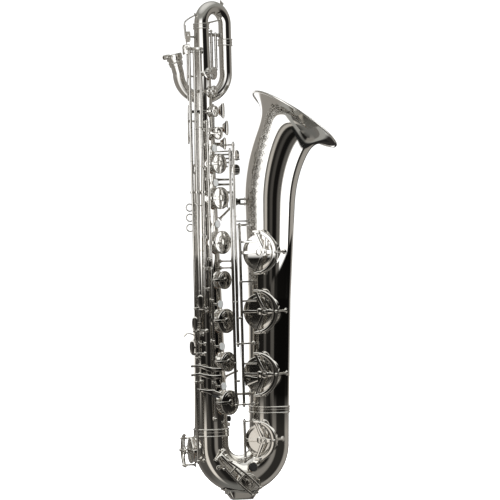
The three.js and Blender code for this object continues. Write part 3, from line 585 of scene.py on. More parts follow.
def chimney(part, cup, sides=56):
    """Drawn tone hole: it flares out of the tube's surface and ends in a rolled lip."""
    outer = cup.radius - CHIMNEY_INSET
    bore = outer - WALL
    top = cup.seat
    angles = np.linspace(0, 2 * math.pi, sides, endpoint=False)
    profile = [(outer + 2.8, -0.5, 1), (outer + 1.6, 0.35, 1), (outer + 0.7, 1.1, 1), (outer + 0.15, 2.2, 1),
               (outer, 3.2, 1), (outer, top - 1.5, 0), (outer + 0.45, top - 1.1, 0),
               (outer + 0.6, top - 0.65, 0), (outer + 0.45, top - 0.2, 0), (outer, top, 0),
               (bore + 0.3, top, 0), (bore, top - 0.3, 0), (bore, -3.0, 1)]
    rows = []
    for radius, height, on_surface in profile:
        aside, along = radius * np.cos(angles), radius * np.sin(angles)
        ground = np.sqrt(np.maximum(cup.tube ** 2 - aside ** 2, 4.0))
        level = np.minimum(ground + height, top - 1.6) if on_surface else np.full(sides, height)
        rows.append(cup.axis + level[:, None] * cup.facing + aside[:, None] * cup.aside
                    + along[:, None] * cup.along)
    faces = grid(len(rows), sides)
    last = (len(rows) - 1) * sides
    faces += [(i, last + i, last + (i + 1) % sides, (i + 1) % sides) for i in range(sides)]
    part.add(np.concatenate(rows), faces)


def post(part, root, place, along, size=1.0):
    """Turned post: a flange on the tube, a waisted stem and a ball that the rod runs through."""
    stem = place - root
    long = np.linalg.norm(stem)
    waist = 1.75 * size
    head = 3.9 * size
    profile = [(0.01, -2), (5.0 * size, -2), (5.0 * size, 0.3), (4.4 * size, 1.1), (2.7 * size, 1.9)]
    profile += [(waist, min(4.0, long * 0.45)), (waist, long - head - 0.6), (2.5 * size, long - head + 0.4)]
    for angle in np.linspace(-0.9, math.pi / 2, 9):
        profile.append((max(head * math.cos(angle), 0.01), long + head * math.sin(angle)))
    profile = [p for i, p in enumerate(profile) if i == 0 or p[1] >= profile[i - 1][1] - 1e-6]
    revolve(part, profile, root, stem, 20)
    for end in (-1, 1):
        revolve(part, [(0.01, 0), (2.9 * size, 0), (2.9 * size, 0.9), (2.4 * size, 1.2), (0.01, 1.2)],
                place + along * end * 2.6 * size, along * end, 16)


def surface_point(axis, radius, target):
    """Where the line from a tube's axis to the target leaves the tube."""
    way = target - axis
    return axis + unit(way) * radius


def upright_posts(part, key, heights, middle, radius):
    """Posts under an upright hinge line, at these heights, on the tube of this middle line and radius."""
    line = hinge_of(key)[0]
    for z in heights:
        place = vec(line[0], line[1], z)
        post(part, surface_point(middle(z), radius(z), place), place, Z)


def body_posts(part, key, *heights):
    upright_posts(part, key, heights, lambda z: vec(0, 0, z), body_radius)


def bell_posts(part, key, *heights):
    upright_posts(part, key, heights, lambda z: vec(bell_x(z), 0, z), bell_radius)


def make_body_tube():
    heights = np.linspace(BODY_FOOT, BODY_TOP, 300)
    part = Part()
    centres = [(vec(0, 0, z), Z) for z in heights]
    tube_shell(part, centres, [body_radius(z) for z in heights], Y, 96, body_cups.values())
    piece("body_tube_shell", part, [TUBE, INNER], replaced=["body_tube"])
    towers = Part()
    for cup in body_cups.values():
        chimney(towers, cup)
    revolve(towers, [(4.5, -1), (4.5, 0.6), (3.2, 1.6), (3.0, 6.0), (1.6, 6.0), (1.6, -1)],
            vec(-body_radius(PIP_Z), 0, PIP_Z), -X, 24, loop=True)
    piece("body_tone_holes", towers, [TUBE])
    posts = Part()
    body_posts(posts, "lh_a_key", 846, 796, 719, 637, 541)
    body_posts(posts, "rh_f_key", 519, 449, 358, 266, 185)
    body_posts(posts, "side_e_key", 424, 1003)
    body_posts(posts, "side_c_key", 374, 1003)
    body_posts(posts, "side_b_flat_key", 320, 1003)
    body_posts(posts, "palm_f_key", 884, 786)
    body_posts(posts, "low_e_flat_key", 268)
    body_posts(posts, "table_b_flat_lever", 794)
    body_posts(posts, "table_b_lever", 780)
    for lever in ("octave_lever", "octave_rocker"):
        line = hinge_of(lever)[0]
        for side in (-8.5, 8.5):
            root = vec(-math.sqrt(body_radius(line[2]) ** 2 - side ** 2), side, line[2])
            post(posts, root, line + Y * side, Y, 0.8)
    fitting("body_posts", posts)


def make_lower_bow():
    centre = vec(BOW_SPAN, 0, BOW_Z)
    start = [(vec(0, 0, BODY_FOOT - 0.4), -Z), (vec(0, 0, (BODY_FOOT + BOW_Z) / 2), -Z)]
    turned = arc(centre, -math.pi, 0, BOW_SPAN, X, Z, 120)
    lean = unit(vec(BELL_LEAN, 0, 1))
    rise = [(vec(bell_x(z), 0, z), lean) for z in np.linspace(BOW_Z + 3, BELL_FOOT - 0.4, 24)]
    centres = start + turned + rise
    radii = [BODY_WIDE] * 2 + list(fade(121, [0, 0.5, 1], [BODY_WIDE, BOW_MID, BELL_NARROW]))
    part = Part()
    tube_shell(part, centres, radii + [BELL_NARROW] * 24, Y, 112, bow_cups.values())
    piece("lower_bow_shell", part, [TUBE, INNER], replaced=["lower_bow"])
    towers = Part()
    for cup in bow_cups.values():
        chimney(towers, cup)
    piece("bow_tone_holes", towers, [TUBE])
    posts = Part()
    for key, root, z, reach in (("low_c_sharp_key", 2 * BOW_SPAN, 176, BELL_NARROW),
                                ("low_c_sharp_key", 2 * BOW_SPAN - 3, 94, BELL_NARROW),
                                ("low_e_flat_key", 4, 92, BODY_WIDE + 0.5)):
        line = hinge_of(key)[0]
        place = vec(line[0], line[1], z)
        post(posts, surface_point(vec(root, 0, z), reach, place), place, Z)
    line, axis = hinge_of("low_c_key")
    for side in (-13, 13):
        place = line + axis * side
        post(posts, vec(place[0], -36.5, place[2]), place, axis)
    fitting("bow_posts", posts)


def bell_centres():
    lean = math.atan(BELL_LEAN)
    way = vec(math.sin(lean), 0, math.cos(lean))
    heights = np.linspace(BELL_FOOT, BELL_BEND_Z, 130)
    centres = [(vec(bell_x(z), 0, z), way) for z in heights]
    radii = [bell_radius(z) for z in heights]
    middle = vec(bell_x(BELL_BEND_Z) + BELL_BEND * math.cos(lean), 0,
                 BELL_BEND_Z - BELL_BEND * math.sin(lean))
    length = BELL_BEND * (math.radians(BELL_TILT) - lean)
    # Stations crowd towards the rim, where the flare is quick.
    for share in 1 - np.linspace(1, 0, 111)[1:] ** 1.6:
        angle = math.pi - lean - share * length / BELL_BEND
        place = middle + BELL_BEND * vec(math.cos(angle), 0, math.sin(angle))
        centres.append((place, vec(math.sin(angle), 0, -math.cos(angle))))
        left = length * (1 - share)
        flare = FLARE_WIDE - FLARE_FALL * left
        flare += (RIM_RADIUS - FLARE_WIDE) * math.exp(-left / FLARE_REACH)
        radii.append(flare)
    return centres, radii


def make_bell():
    centres, radii = bell_centres()
    part = Part()
    tube_shell(part, centres, radii, Y, 144, bell_cups.values())
    place, way = centres[-1]
    hoop(part, place, way, RIM_RADIUS - 0.8, RIM_BEAD, 144, 14)
    piece("bell_shell", part, [BELL_PLATE, INNER], replaced=["bell"])
    towers = Part()
    for cup in bell_cups.values():
        chimney(towers, cup, 72)
    piece("bell_tone_holes", towers, [TUBE])
    posts = Part()
    bell_posts(posts, "low_a_key", 614, 488, 350, 214)
    bell_posts(posts, "table_b_flat_lever", 350)
    bell_posts(posts, "table_b_lever", 214)
    fitting("bell_posts", posts)


def make_crook():
    way = unit(vec(CROOK_X, CROOK_Y, 0))
    across = np.cross(way, Z)
    centre = vec(CROOK_X / 2, CROOK_Y / 2, CROOK_Z)
    bend = arc(centre, math.pi, 0, CROOK_TURN, way, Z, 60)
    centres = [(vec(0, 0, BODY_TOP + 0.4), Z)] + bend + [(vec(CROOK_X, CROOK_Y, CROOK_JOINT), -Z)]
    radii = [CROOK_WIDE] + list(np.linspace(CROOK_WIDE, CROOK_MID, 61)) + [CROOK_MID]
    part = Part()
    tube_shell(part, centres, radii, across, 64)
    piece("upper_bow_shell", part, [TUBE, INNER], replaced=["upper_bow"])

    lean = unit(vec(-math.sin(math.radians(LOOP_LEAN)), 0, math.cos(math.radians(LOOP_LEAN))))
    middle = vec(CROOK_X - LOOP_TURN, CROOK_Y, LOOP_Z)
    shoulder = vec(CROOK_X - 2 * LOOP_TURN, CROOK_Y, LOOP_Z)
    leg = [(vec(CROOK_X, CROOK_Y, z), -Z) for z in np.linspace(CROOK_JOINT - 0.4, LOOP_Z + 6, 12)]
    turned = arc(middle, 0, -math.pi, LOOP_TURN, X, Z, 84)
    rise = []
    for share in np.linspace(0.06, 1, 20):
        eased = min(1.0, share / 0.35)
        tilt = unit(Z * (1 - eased) + lean * eased)
        rise.append((shoulder + lean * LOOP_RISE * share, tilt))
    centres = leg + turned + rise
    radii = fade(len(centres), [0, 0.2, 0.8, 1], [CROOK_MID, 13.6, CROOK_NARROW, CROOK_NARROW])
    part = Part()
    tube_shell(part, centres, radii, Y, 64)
    piece("pigtail_loop_shell", part, [TUBE, INNER], replaced=["pigtail_loop"])
    return shoulder + lean * LOOP_RISE, lean


def ferrule(name, place, way, length, inner, thick):
    """Sleeve with a rolled bead at each end and a turned groove in the middle."""
    half = length / 2
    outer = inner + thick
    profile = [(inner, -half)]
    for end in (-1, 1):
        bead = [(outer - 0.9, -half), (outer - 0.1, -half + 0.5), (outer + 0.35, -half + 1.5),
                (outer - 0.1, -half + 2.6), (outer - 0.9, -half + 3.1)]
        profile += bead if end < 0 else [(r, -h) for r, h in reversed(bead)]
        if end < 0:
            profile += [(outer - 1.0, -1.2), (outer - 0.4, -0.9), (outer - 0.2, 0), (outer - 0.4, 0.9),
                        (outer - 1.0, 1.2)]
    profile.append((inner, half))
    part = Part()
    revolve(part, profile, place, way, 96, loop=True)
    piece(name + "_sleeve", part, [TUBE], replaced=[name], sharp=50)


def make_ferrules():
    ferrule("body_bow_ferrule", vec(0, 0, BODY_FOOT + 8), Z, 18, BODY_WIDE + 0.15, 2.4)
    ferrule("bell_bow_ferrule", vec(bell_x(BELL_FOOT + 2), 0, BELL_FOOT + 2), vec(BELL_LEAN, 0, 1), 16,
            BELL_NARROW + 0.15, 2.4)
    ferrule("body_crook_ferrule", vec(0, 0, BODY_TOP), Z, 13, CROOK_WIDE + 0.9, 2.2)
    ferrule("crook_loop_ferrule", vec(CROOK_X, CROOK_Y, CROOK_JOINT), Z, 16, CROOK_MID + 0.15, 2.4)


# ---------------------------------------------------------------- receiver, braces, rings and rests
def make_receiver(mouth, lean):
    """Socket for the neck, with its clamping lugs and thumb screw."""
    top = mouth + lean * 6
    inner, outer = CROOK_NARROW + 0.2, 16.2
    part = Part()
    profile = [(inner, -28), (outer - 1.4, -28), (outer - 0.6, -27.2), (outer - 0.6, -21.5), (outer, -21),
               (outer + 0.6, -19.6), (outer, -18.2), (outer - 0.8, -17.6), (outer - 0.8, -14.5),
               (outer + 1.4, -13.6), (outer + 1.8, -12.6), (outer + 1.8, -1.6), (outer + 1.4, -0.4),
               (outer, 0), (inner - 1.5, 0), (inner - 1.8, -0.8), (inner - 1.8, -5), (inner, -5.4)]
    revolve(part, profile, top, lean, 72, loop=True)
    lug = ray(200)
    side = unit(np.cross(lug, lean))
    for hand in (-1, 1):
        root = top - lean * 7 + lug * 15 + side * hand * 2.9
        sweep(part, [root, root + lug * 5, root + lug * 9, root + lug * 10.2],
              [11.5, 11, 9.5, 5], [3.6, 3.6, 3.4, 2.4], lean, 20, 0.5)
    front = unit(np.cross(np.cross(lean, ray(-128)), lean))
    revolve(part, [(0.01, -3), (4.2, -3), (4.6, 0.4), (4.2, 1.4), (3.0, 1.8), (0.01, 1.9)],
            top - lean * 7 + front * (outer + 2.0), front, 28)
    piece("neck_receiver_collar", part, [TUBE], replaced=["neck_receiver"])
    screw = Part()
    heart = top - lean * 7 + lug * 20.5
    revolve(screw, [(0.01, -9), (1.5, -9), (1.5, 5)], heart, side * -1, 20)
    revolve(screw, [(1.6, 4.4), (4.1, 4.6), (4.4, 5.2), (4.1, 8.2), (2.6, 9.2), (2.2, 11), (0.01, 11)],
            heart, side * -1, 32)
    head = heart - side * 14.5
    wings = [head - lug * 6.5, head - lug * 3.4, head, head + lug * 3.4, head + lug * 6.5]
    sweep(screw, wings, [6.0, 8.0, 6.5, 8.0, 6.0], [1.6, 2.4, 3.6, 2.4, 1.6], side, 20, 0.8)
    fitting("receiver_thumb_screw", screw, "receiver_screw")
    shank = Part()
    revolve(shank, [(0.01, 0), (5.4, 0.2), (5.6, 0.8), (4.4, 1.6), (0.01, 1.6)], heart + side * 8, side, 24)
    fitting("receiver_screw_nut", shank)


def flange(part, place, way, radius, thick=1.2):
    """Round foot, brazed on a tube."""
    revolve(part, [(0.01, -1.5), (radius, -1.5), (radius, thick * 0.4), (radius - 1, thick),
                   (0.01, thick)], place, way, 32)


def middle_of(node):
    """Middle of a node's box, in millimetres around the body tube."""
    low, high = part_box(node)
    return (vec(*low) + vec(*high)) / 2 / MM + X * BOW_SPAN


BRACE_FORK = 78.0  # where the bell brace parts into two prongs


def make_bell_brace():
    part = Part()
    y, z = middle_of("bell_brace")[1:]
    start = math.sqrt(body_radius(z) ** 2 - y * y)
    end = bell_x(z) - math.sqrt(bell_radius(z) ** 2 - y * y)
    sweep(part, [vec(start - 0.5 + (54 - start) * t, y, z) for t in np.linspace(0, 1, 8)],
          [26, 16, 12, 11, 11, 14, 20, 30], 3.2, Z, 20, 0.7)
    # Flared plate: as tall as a hand's breadth at its upright edge, waisted towards the prongs.
    sweep(part, [vec(t, y, z) for t in np.linspace(59, BRACE_FORK + 5, 26)],
          62 * np.exp(-np.linspace(0, 3.2, 26)) + 8, 3.4, Z, 28, 0.6)
    for rise in (5.5, -5.5):
        prong = [vec(BRACE_FORK - 5, y, z + rise * 0.4), vec(BRACE_FORK + 4, y, z + rise),
                 vec(end - 4, y, z + rise), vec(end + 1, y, z + rise)]
        sweep(part, bent(prong), 4.2)
        flange(part, vec(end, y, z + rise), -X, 5.5)
    flange(part, vec(start + 0.3, y, z), X, 11)
    fitting("bell_brace_fork", part, "bell_brace")


def make_braces():
    z = middle_of("lower_brace")[2]
    part = Part()
    start, end = body_radius(z) - 0.5, bell_x(z) - bell_radius(z) + 0.5
    rod = [vec(start + (end - start) * t, 3, z) for t in np.linspace(0, 1, 9)]
    sweep(part, rod, [9, 7, 5.6, 5.2, 5.2, 5.2, 5.6, 7, 9], sides=24)
    flange(part, rod[0], X, 8)
    flange(part, rod[-1], -X, 8)
    hoop(part, rod[4], X, 2.6, 0.9, 24)
    fitting("lower_brace_rod", part, "lower_brace")

    z = middle_of("loop_brace")[2]
    way = unit(vec(CROOK_X, CROOK_Y, 0))
    first = way * (body_radius(z) - 0.4) + Z * z
    last = vec(CROOK_X, CROOK_Y, z) - way * (CROOK_MID - 0.4)
    part = Part()
    sweep(part, straight(first, last, 13), [15, 12, 9, 7.5, 7, 7, 7, 7, 7, 7.5, 9, 12, 15], 3.2, Z, 20, 0.7)
    fitting("loop_brace_strut", part, "loop_brace")


def make_strap_rings():
    """Plate down the back of the body with three rings for the strap."""
    low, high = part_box("strap_rings")
    part = Part()
    bottom, top = low.z / MM, high.z / MM
    plate = [vec(-body_radius(z) - 1.0, 0, z) for z in np.linspace(bottom, top, 24)]
    ends = np.sin(np.clip(np.linspace(0, 1, 24), 0.02, 0.98) * math.pi) ** 0.25
    sweep(part, plate, 11 * ends, 2.2 * ends, Y, 20, 0.6)
    x = -37.0
    for share in (5 / 6, 0.5, 1 / 6):
        z = bottom + (top - bottom) * share
        hoop(part, vec(x, 0, z), Y, 8.0, 1.35, 48, 14)
        sweep(part, [vec(x + 9.6, 0, z), vec(x + 8.2, 0, z)], [6.5, 5], [5, 3.8], Y, 16)
        for rise in (-8, 8):
            ball(part, vec(-body_radius(z) - 2.1, 0, z + rise * 1.25), 1.3, 12)
    fitting("strap_ring_plate", part, "strap_rings")


def make_thumb_pieces():
    """Hook for the right thumb, rest for the left."""
    z = middle_of("thumb_hook")[2]
    skin = -body_radius(z)
    part = Part()
    base = [vec(skin - 0.8, 0, z + t) for t in np.linspace(-17, 17, 13)]
    sweep(part, base, 14 * np.sin(np.linspace(0.25, math.pi - 0.25, 13)) ** 0.4, 2.2, Y, 20, 0.6)
    hook = bent([vec(skin - 1, 0, z - 1), vec(skin - 9, 0, z + 3), vec(skin - 18, 0, z + 4),
                 vec(skin - 24.5, 0, z - 3)])
    sweep(part, hook, fade(len(hook), [0, 0.5, 0.85, 1], [10, 14, 14, 9]), 2.2, Y, 20, 0.6)
    for side in (-11, 11):
        revolve(part, [(0.01, -1), (2.6, -1), (2.6, 1.0), (2.0, 1.8), (0.01, 1.9)],
                vec(skin - 1.6, 0, z + side), -X, 20)
    fitting("thumb_hook_bracket", part, "thumb_hook")

    z = middle_of("thumb_rest")[2]
    skin = -body_radius(z)
    rest = Part()
    revolve(rest, [(0.01, -2.5), (10.5, -2.5), (11.8, 0.2), (12.0, 1.6), (11.2, 2.6), (10.4, 2.4),
                   (9.6, 2.0), (0.01, 2.0)], vec(skin, 0, z), -X, 40)
    button = Part()
    revolve(button, [(0.01, 1.8), (9.8, 1.8), (9.7, 3.2), (8.6, 4.4), (5, 4.9), (0.01, 5.0)],
            vec(skin, 0, z), -X, 40)
    fitting("thumb_rest_cup", rest, "thumb_rest")
    piece("thumb_rest_button", button, [RUBBER])


def bow_skin(x, y):
    """Height of the bow's underside below a point."""
    reach = BOW_SPAN + math.sqrt(max(BOW_MID ** 2 - y * y, 1.0))
    return BOW_Z - math.sqrt(max(reach ** 2 - (x - BOW_SPAN) ** 2, 1.0))


def smooth_step(value):
    value = min(max(value, 0.0), 1.0)
    return value * value * (3 - 2 * value)


FOOT_HALF, GUARD_RISE = 23.0, 31.0  # half the flat foot's length, and the rise of the plate's ends
SKIN_GAP, PLATE_THICK = 0.35, 1.6


def guard_slope(x, half_x):
    return (abs(x - BOW_SPAN) - FOOT_HALF) / (half_x - FOOT_HALF) * GUARD_RISE


def make_bow_guard():
    """Pressed plate that wraps the bottom of the bow, with a raised foot and four screws."""
    low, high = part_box("bow_guard")
    half_x, half_y = (high.x - low.x) / 2 / MM, (high.y - low.y) / 2 / MM
    columns, rows = 65, 33
    top, under = [], []
    for v in np.linspace(-1, 1, rows):
        for u in np.linspace(-1, 1, columns):
            # Rounded corners: the plate's edge is a superellipse.
            grow = max(abs(u), abs(v)) / max((abs(u) ** 5 + abs(v) ** 5) ** 0.2, 1e-6)
            x, y = BOW_SPAN + u * half_x * grow, v * half_y * grow
            skin = bow_skin(x, y) - SKIN_GAP
            # Two slopes run down to a flat foot, and both sides close on the tube.
            slope = max(0.25, guard_slope(x, half_x))
            closing = smooth_step((abs(v) - 0.62) / 0.36)
            level = min(slope, skin - PLATE_THICK) * (1 - closing) + (skin - PLATE_THICK) * closing
            top.append((x, y, skin))
            under.append((x, y, max(level, 0.05)))
    count = columns * rows
    faces = []
    for k in range(rows - 1):
        for i in range(columns - 1):
            a = k * columns + i
            faces.append((a, a + 1, a + columns + 1, a + columns))
            faces.append((a + count, a + columns + count, a + columns + 1 + count, a + 1 + count))
    edge = list(range(columns))
    edge += [k * columns + columns - 1 for k in range(1, rows)]
    edge += [(rows - 1) * columns + i for i in range(columns - 2, -1, -1)]
    edge += [k * columns for k in range(rows - 2, 0, -1)]
    for a, b in zip(edge, edge[1:] + edge[:1]):
        faces.append((a, b, b + count, a + count))
    part = Part()
    part.add(np.array(top + under), faces)
    piece("bow_guard_plate", part, [TUBE], replaced=["bow_guard"])
    screws = Part()
    for x in (-0.72, 0.72):
        for y in (-0.62, 0.62):
            px, py = BOW_SPAN + x * half_x, y * half_y
            place = vec(px, py, min(guard_slope(px, half_x), bow_skin(px, py) - PLATE_THICK) + 0.4)
            way = unit(vec(x * GUARD_RISE, 0, FOOT_HALF - half_x))
            revolve(screws, [(0.01, -1), (2.7, -1), (2.7, 0.9), (2.1, 1.8), (0.9, 2.1), (0.01, 2.1)],
                    place, way, 20)
    piece("bow_guard_screws", screws, [STEEL])


# ---------------------------------------------------------------- key guards
BUMPER_ROOM = 20  # a lower guard has no felt under it


def make_guard(node, key, rise, ring, boss_aside, feet, hand=1):
    """Half ring on three feet over a cup, with ribs, a screw boss and a felt bumper."""
    cup = cups[key]
    up = cup.along
    side = cup.aside * hand
    high = cup.spot(cup.seat + rise)

    def spot(degrees, radius):
        angle = math.radians(degrees)
        return high + side * radius * math.cos(angle) + up * radius * math.sin(angle)

    part = Part()
    share = np.abs(np.linspace(-1, 1, 61))
    width = np.interp(share, [0, 0.5, 0.9, 1], [14, 11.5, 8, 5])
    arch = [spot(a, ring + 5 - w / 2) for a, w in zip(np.linspace(-100, 100, 61), width)]
    sweep(part, arch, 5.0, width, cup.facing, 24, 0.9)
    middle = spot(0, boss_aside)
    spoke = bent([middle, (middle + spot(0, ring)) / 2 + cup.facing * 1.5, spot(0, ring)])
    sweep(part, spoke, 2.6, np.linspace(10, 7, len(spoke)), cup.facing, 16, 0.6)
    for degrees, broad in ((94, 6.5), (-94, 6.5), (60, 3.2)):
        rib = bent([middle, (middle + spot(degrees, ring)) / 2 + cup.facing * 1.2, spot(degrees, ring)])
        sweep(part, rib, 2.6, np.linspace(broad + 2, broad, len(rib)), cup.facing, 14, 0.6)
    revolve(part, [(8.2, -2.2), (8.6, -1.2), (8.6, 1.8), (7.8, 2.8), (6.2, 3.0), (5.6, 1.6), (3.6, 1.4),
                   (3.2, 4.6), (2.4, 5.2), (0.01, 5.0)], middle, cup.facing, 36)
    for degrees in feet:
        top = spot(degrees, ring)
        offset = top - cup.axis
        aside = float(offset @ cup.aside)
        ground = math.sqrt(max(cup.tube ** 2 - aside ** 2, 0.0))
        foot = top - cup.facing * (cup.seat + rise - ground)
        leg = [top + (foot - top) * t for t in np.linspace(-0.04, 1.02, 9)]
        sweep(part, leg, [4, 5.5, 4.6, 4, 3.8, 3.8, 4.2, 5.5, 9], [3, 4.2, 3.6, 3.2, 3, 3, 3.2, 4, 5], up, 18)
        ball(part, top + cup.facing * 1.8, 3.9, 18)
        outward = unit(foot - cup.axis - cup.along * ((foot - cup.axis) @ cup.along))
        flange(part, foot, outward, 6.0)
        if degrees == 0:
            for way in (-up, up):
                toe = top - cup.facing * 17 + way * 11 + side * 0.5
                claw = bent([top, top - cup.facing * 9 + way * 5, toe])
                sweep(part, claw, np.linspace(4.4, 3.0, len(claw)), sides=14)
    fitting(node + "_cage", part, node)
    if rise < BUMPER_ROOM:
        return
    bumper = Part()
    revolve(bumper, [(0.01, 0.3), (5.4, 0.3), (5.6, -2.0), (5.2, -3.6), (0.01, -3.8)],
            middle - cup.facing * 2, cup.facing, 28)
    piece(node + "_bumper", bumper, [FELT])


def make_guards():
    make_guard("low_a_guard", "low_a_key", 22, 45, 17, (0, 80, -80))
    make_guard("low_b_flat_guard", "low_b_flat_key", 22, 45, 17, (0, 80, -80))
    make_guard("low_b_guard", "low_b_key", 22, 45, 17, (0, 80, -80))
    make_guard("low_c_sharp_guard", "low_c_sharp_key", 22, 40, 15, (0, 80, -80))
    make_guard("low_e_flat_guard", "low_e_flat_key", 17, 33, 0, (0, 55, -80), -1)


# ---------------------------------------------------------------- rods
def make_rods():
    for node in sorted(frame["nodes"]):
        if not node.endswith("_rod") or node == "low_c_rod":
            continue
        low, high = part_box(node)
        x, y = middle_of(node)[:2]
        z0, z1 = low.z / MM, high.z / MM
        part = Part()
        revolve(part, [(0.01, 0), (1.1, 0), (ROD, 0.5), (ROD, z1 - z0 - 0.5), (1.1, z1 - z0),
                       (0.01, z1 - z0)], vec(x, y, z0), Z, 20)
        for z, way in ((z0, -1), (z1, 1)):
            revolve(part, [(0.01, -1.2), (2.3, -1.2), (2.3, 0.4), (1.9, 0.8), (0.01, 0.8)], vec(x, y, z),
                    Z * way, 20)
            sweep(part, [vec(x - 1.9, y, z + 0.8 * way), vec(x + 1.9, y, z + 0.8 * way)], 0.5, 0.5, Y, 6)
        piece(node + "_steel", part, [STEEL], replaced=[node])
    line, axis = hinge_of("low_c_key")
    part = Part()
    revolve(part, [(0.01, -17), (2.4, -17), (2.4, -15.6), (ROD, -15.4), (ROD, 15.4), (2.4, 15.6),
                   (2.4, 17), (0.01, 17)], line, axis, 20)
    piece("low_c_rod_steel", part, [STEEL], replaced=["low_c_rod"])


# ---------------------------------------------------------------- keys
def cup_metal(part, cup):
    """Pad cup: a rolled skirt, a stepped shoulder and a low dome."""
    r = cup.radius
    face = cup.spot(cup.seat)
    profile = [(r - 1.3, 1.3), (r - 0.2, 1.3), (r, 1.6), (r, 4.0), (r - 0.35, 4.9), (r - 1.2, 5.5),
               (r - 2.4, 5.75), (r * 0.80, 5.85), (r * 0.78, 6.25), (r * 0.74, 6.45), (r * 0.45, 6.75),
               (r * 0.2, 6.9), (0.01, 6.95), (0.01, 4.0), (r - 1.3, 3.8)]
    revolve(part, profile, face, cup.facing, 64, loop=True)


def cup_pad(key, cup, spin):
    """Leather pad with its seat ring, and the resonator riveted in its middle."""
    r = cup.radius - 1.5
    chimney_radius = cup.radius - CHIMNEY_INSET - WALL / 2
    face = cup.spot(cup.seat)
    groove = [(chimney_radius + 1.2, 0.12), (chimney_radius + 0.6, 0.25), (chimney_radius, 0.45),
              (chimney_radius - 0.6, 0.25), (chimney_radius - 1.2, 0.12)]
    outline = [(0.01, 3.7), (r, 3.7), (r + 0.1, 1.2), (r - 0.3, 0.4)]
    outline += [g for g in groove if g[0] < r - 0.4]
    outline += [(r * 0.45, 0.14), (0.01, 0.14)]
    pad = Part()
    revolve(pad, outline, face, cup.facing, 64)
    dome = min(r * 0.42, 15)
    revolve(pad, [(0.01, 0.9), (dome, 0.9), (dome, 0.0), (dome - 0.6, -0.35), (dome * 0.5, -0.8),
                  (1.6, -0.9), (1.5, -1.4), (0.6, -1.7), (0.01, -1.7)], face, cup.facing, 40, slot=1)
    if spin:
        pad.turn(*spin)
    piece(key + "_pad", pad, [LEATHER, KEY], key)


def hinge_barrel(part, line, axis, low, high, rings=(), outer=HINGE_OUTER):
    """Hinge tube with a collar at each end and, on a long one, rings along it."""
    span = high - low
    profile = [(2.1, 0), (outer + 0.35, 0), (outer + 0.45, 0.5), (outer + 0.35, 2.0),
               (outer, 2.3), (outer, span - 2.3), (outer + 0.35, span - 2.0),
               (outer + 0.45, span - 0.5), (outer + 0.35, span), (2.1, span)]
    revolve(part, profile, line + axis * low, axis, 28, loop=True)
    for place in rings:
        hoop(part, line + axis * place, axis, outer, 0.7, 28, 10, 1.6)


def arm_path(cup, hinge, waypoints=()):
    """From the hinge line up over the cup's rim to its middle."""
    top = cup.spot(cup.seat + 7.2)
    start = waypoints[-1] if len(waypoints) else hinge
    knee = start + cup.facing * ((top - start) @ cup.facing)
    return [hinge, *waypoints, knee, top]


def cup_arm(part, cup, hinge, across, waypoints=()):
    path = bent(arm_path(cup, hinge, waypoints), 0.42, 8)
    broad = min(8.0, 4.6 + cup.radius * 0.09)
    wide = fade(len(path), [0, 0.3, 0.8, 1], [broad + 1.5, broad, broad, broad * 0.8])
    sweep(part, path, wide, fade(len(path), [0, 0.5, 1], [3.6, 3.0, 2.2]), across, 20, 0.7)
    boss = min(6.5, cup.radius * 0.22 + 1.0)
    revolve(part, [(boss + 1.2, 6.2), (boss + 1.0, 6.9), (boss, 7.4), (boss, 8.2), (boss - 0.8, 8.6),
                   (0.01, 8.8), (0.01, 6.2)], cup.spot(cup.seat), cup.facing, 36)


def finish_key(key, part, spin=None):
    if spin:
        part.turn(*spin)
    piece(key + "_metal", part, [KEY], key, [key])


def pearl_touch(key, metal, cup, hinge, z, spin):
    """Finger touch: a plated cup on a short arm, with a mother-of-pearl disc."""
    base = vec(hinge[0], hinge[1], z)
    rise = cup.seat + 7.0 - float(base @ cup.facing)
    over = base + cup.facing * rise
    middle = over + np.cross(Z, cup.facing) * 9
    path = bent([base, over, middle], 0.42, 8)
    sweep(metal, path, np.linspace(5.5, 5, len(path)), 2.6, Z, 16, 0.7)
    revolve(metal, [(0.01, -1.2), (6.5, -1.2), (8.6, 0.0), (9.0, 1.2), (9.0, 2.8), (8.5, 3.1), (8.2, 2.6),
                    (0.01, 2.4)], middle, cup.facing, 40)
    disc = Part()
    revolve(disc, [(0.01, 2.2), (8.1, 2.2), (8.1, 3.1), (7.4, 3.7), (4.5, 3.45), (0.01, 3.2)], middle,
            cup.facing, 40)
    if spin:
        disc.turn(*spin)
    piece(key + "_pearl", disc, [PEARL], key)


# Lower and upper end of each upright key's hinge tube: the gaps between them hold the posts.
SPANS = {
    "small_c_key": (799.5, 842.5), "lh_b_key": (722.5, 792.5), "lh_a_key": (640.5, 715.5),
    "lh_g_key": (544.5, 633.5), "rh_f_sharp_key": (452.5, 515.5), "rh_f_key": (361.5, 445.5),
    "rh_e_key": (269.5, 354.5), "rh_d_key": (188.5, 262.5), "side_e_key": (427.5, 999.5),
    "side_c_key": (377.5, 999.5), "side_b_flat_key": (323.5, 999.5), "palm_f_key": (858.5, 880.5),
    "palm_e_flat_key": (824.5, 857.5), "palm_d_key": (789.5, 823.5), "low_a_key": (491.5, 610.5),
    "low_b_flat_key": (353.5, 484.5), "low_b_key": (217.5, 346.5), "low_c_sharp_key": (97.5, 172.5),
    "low_e_flat_key": (95.5, 264.5), "table_b_flat_lever": (354, 790), "table_b_lever": (218, 776),
}
# Heights of the finger touches.
PEARLS = {"lh_b_key": 787, "lh_a_key": 710, "lh_g_key": 618, "rh_f_key": 440, "rh_e_key": 346,
          "rh_d_key": 258}


def spin_of(key):
    hinge, axis = hinge_of(key)
    turn = rest_turn(key)
    return (hinge, axis, turn) if turn else None


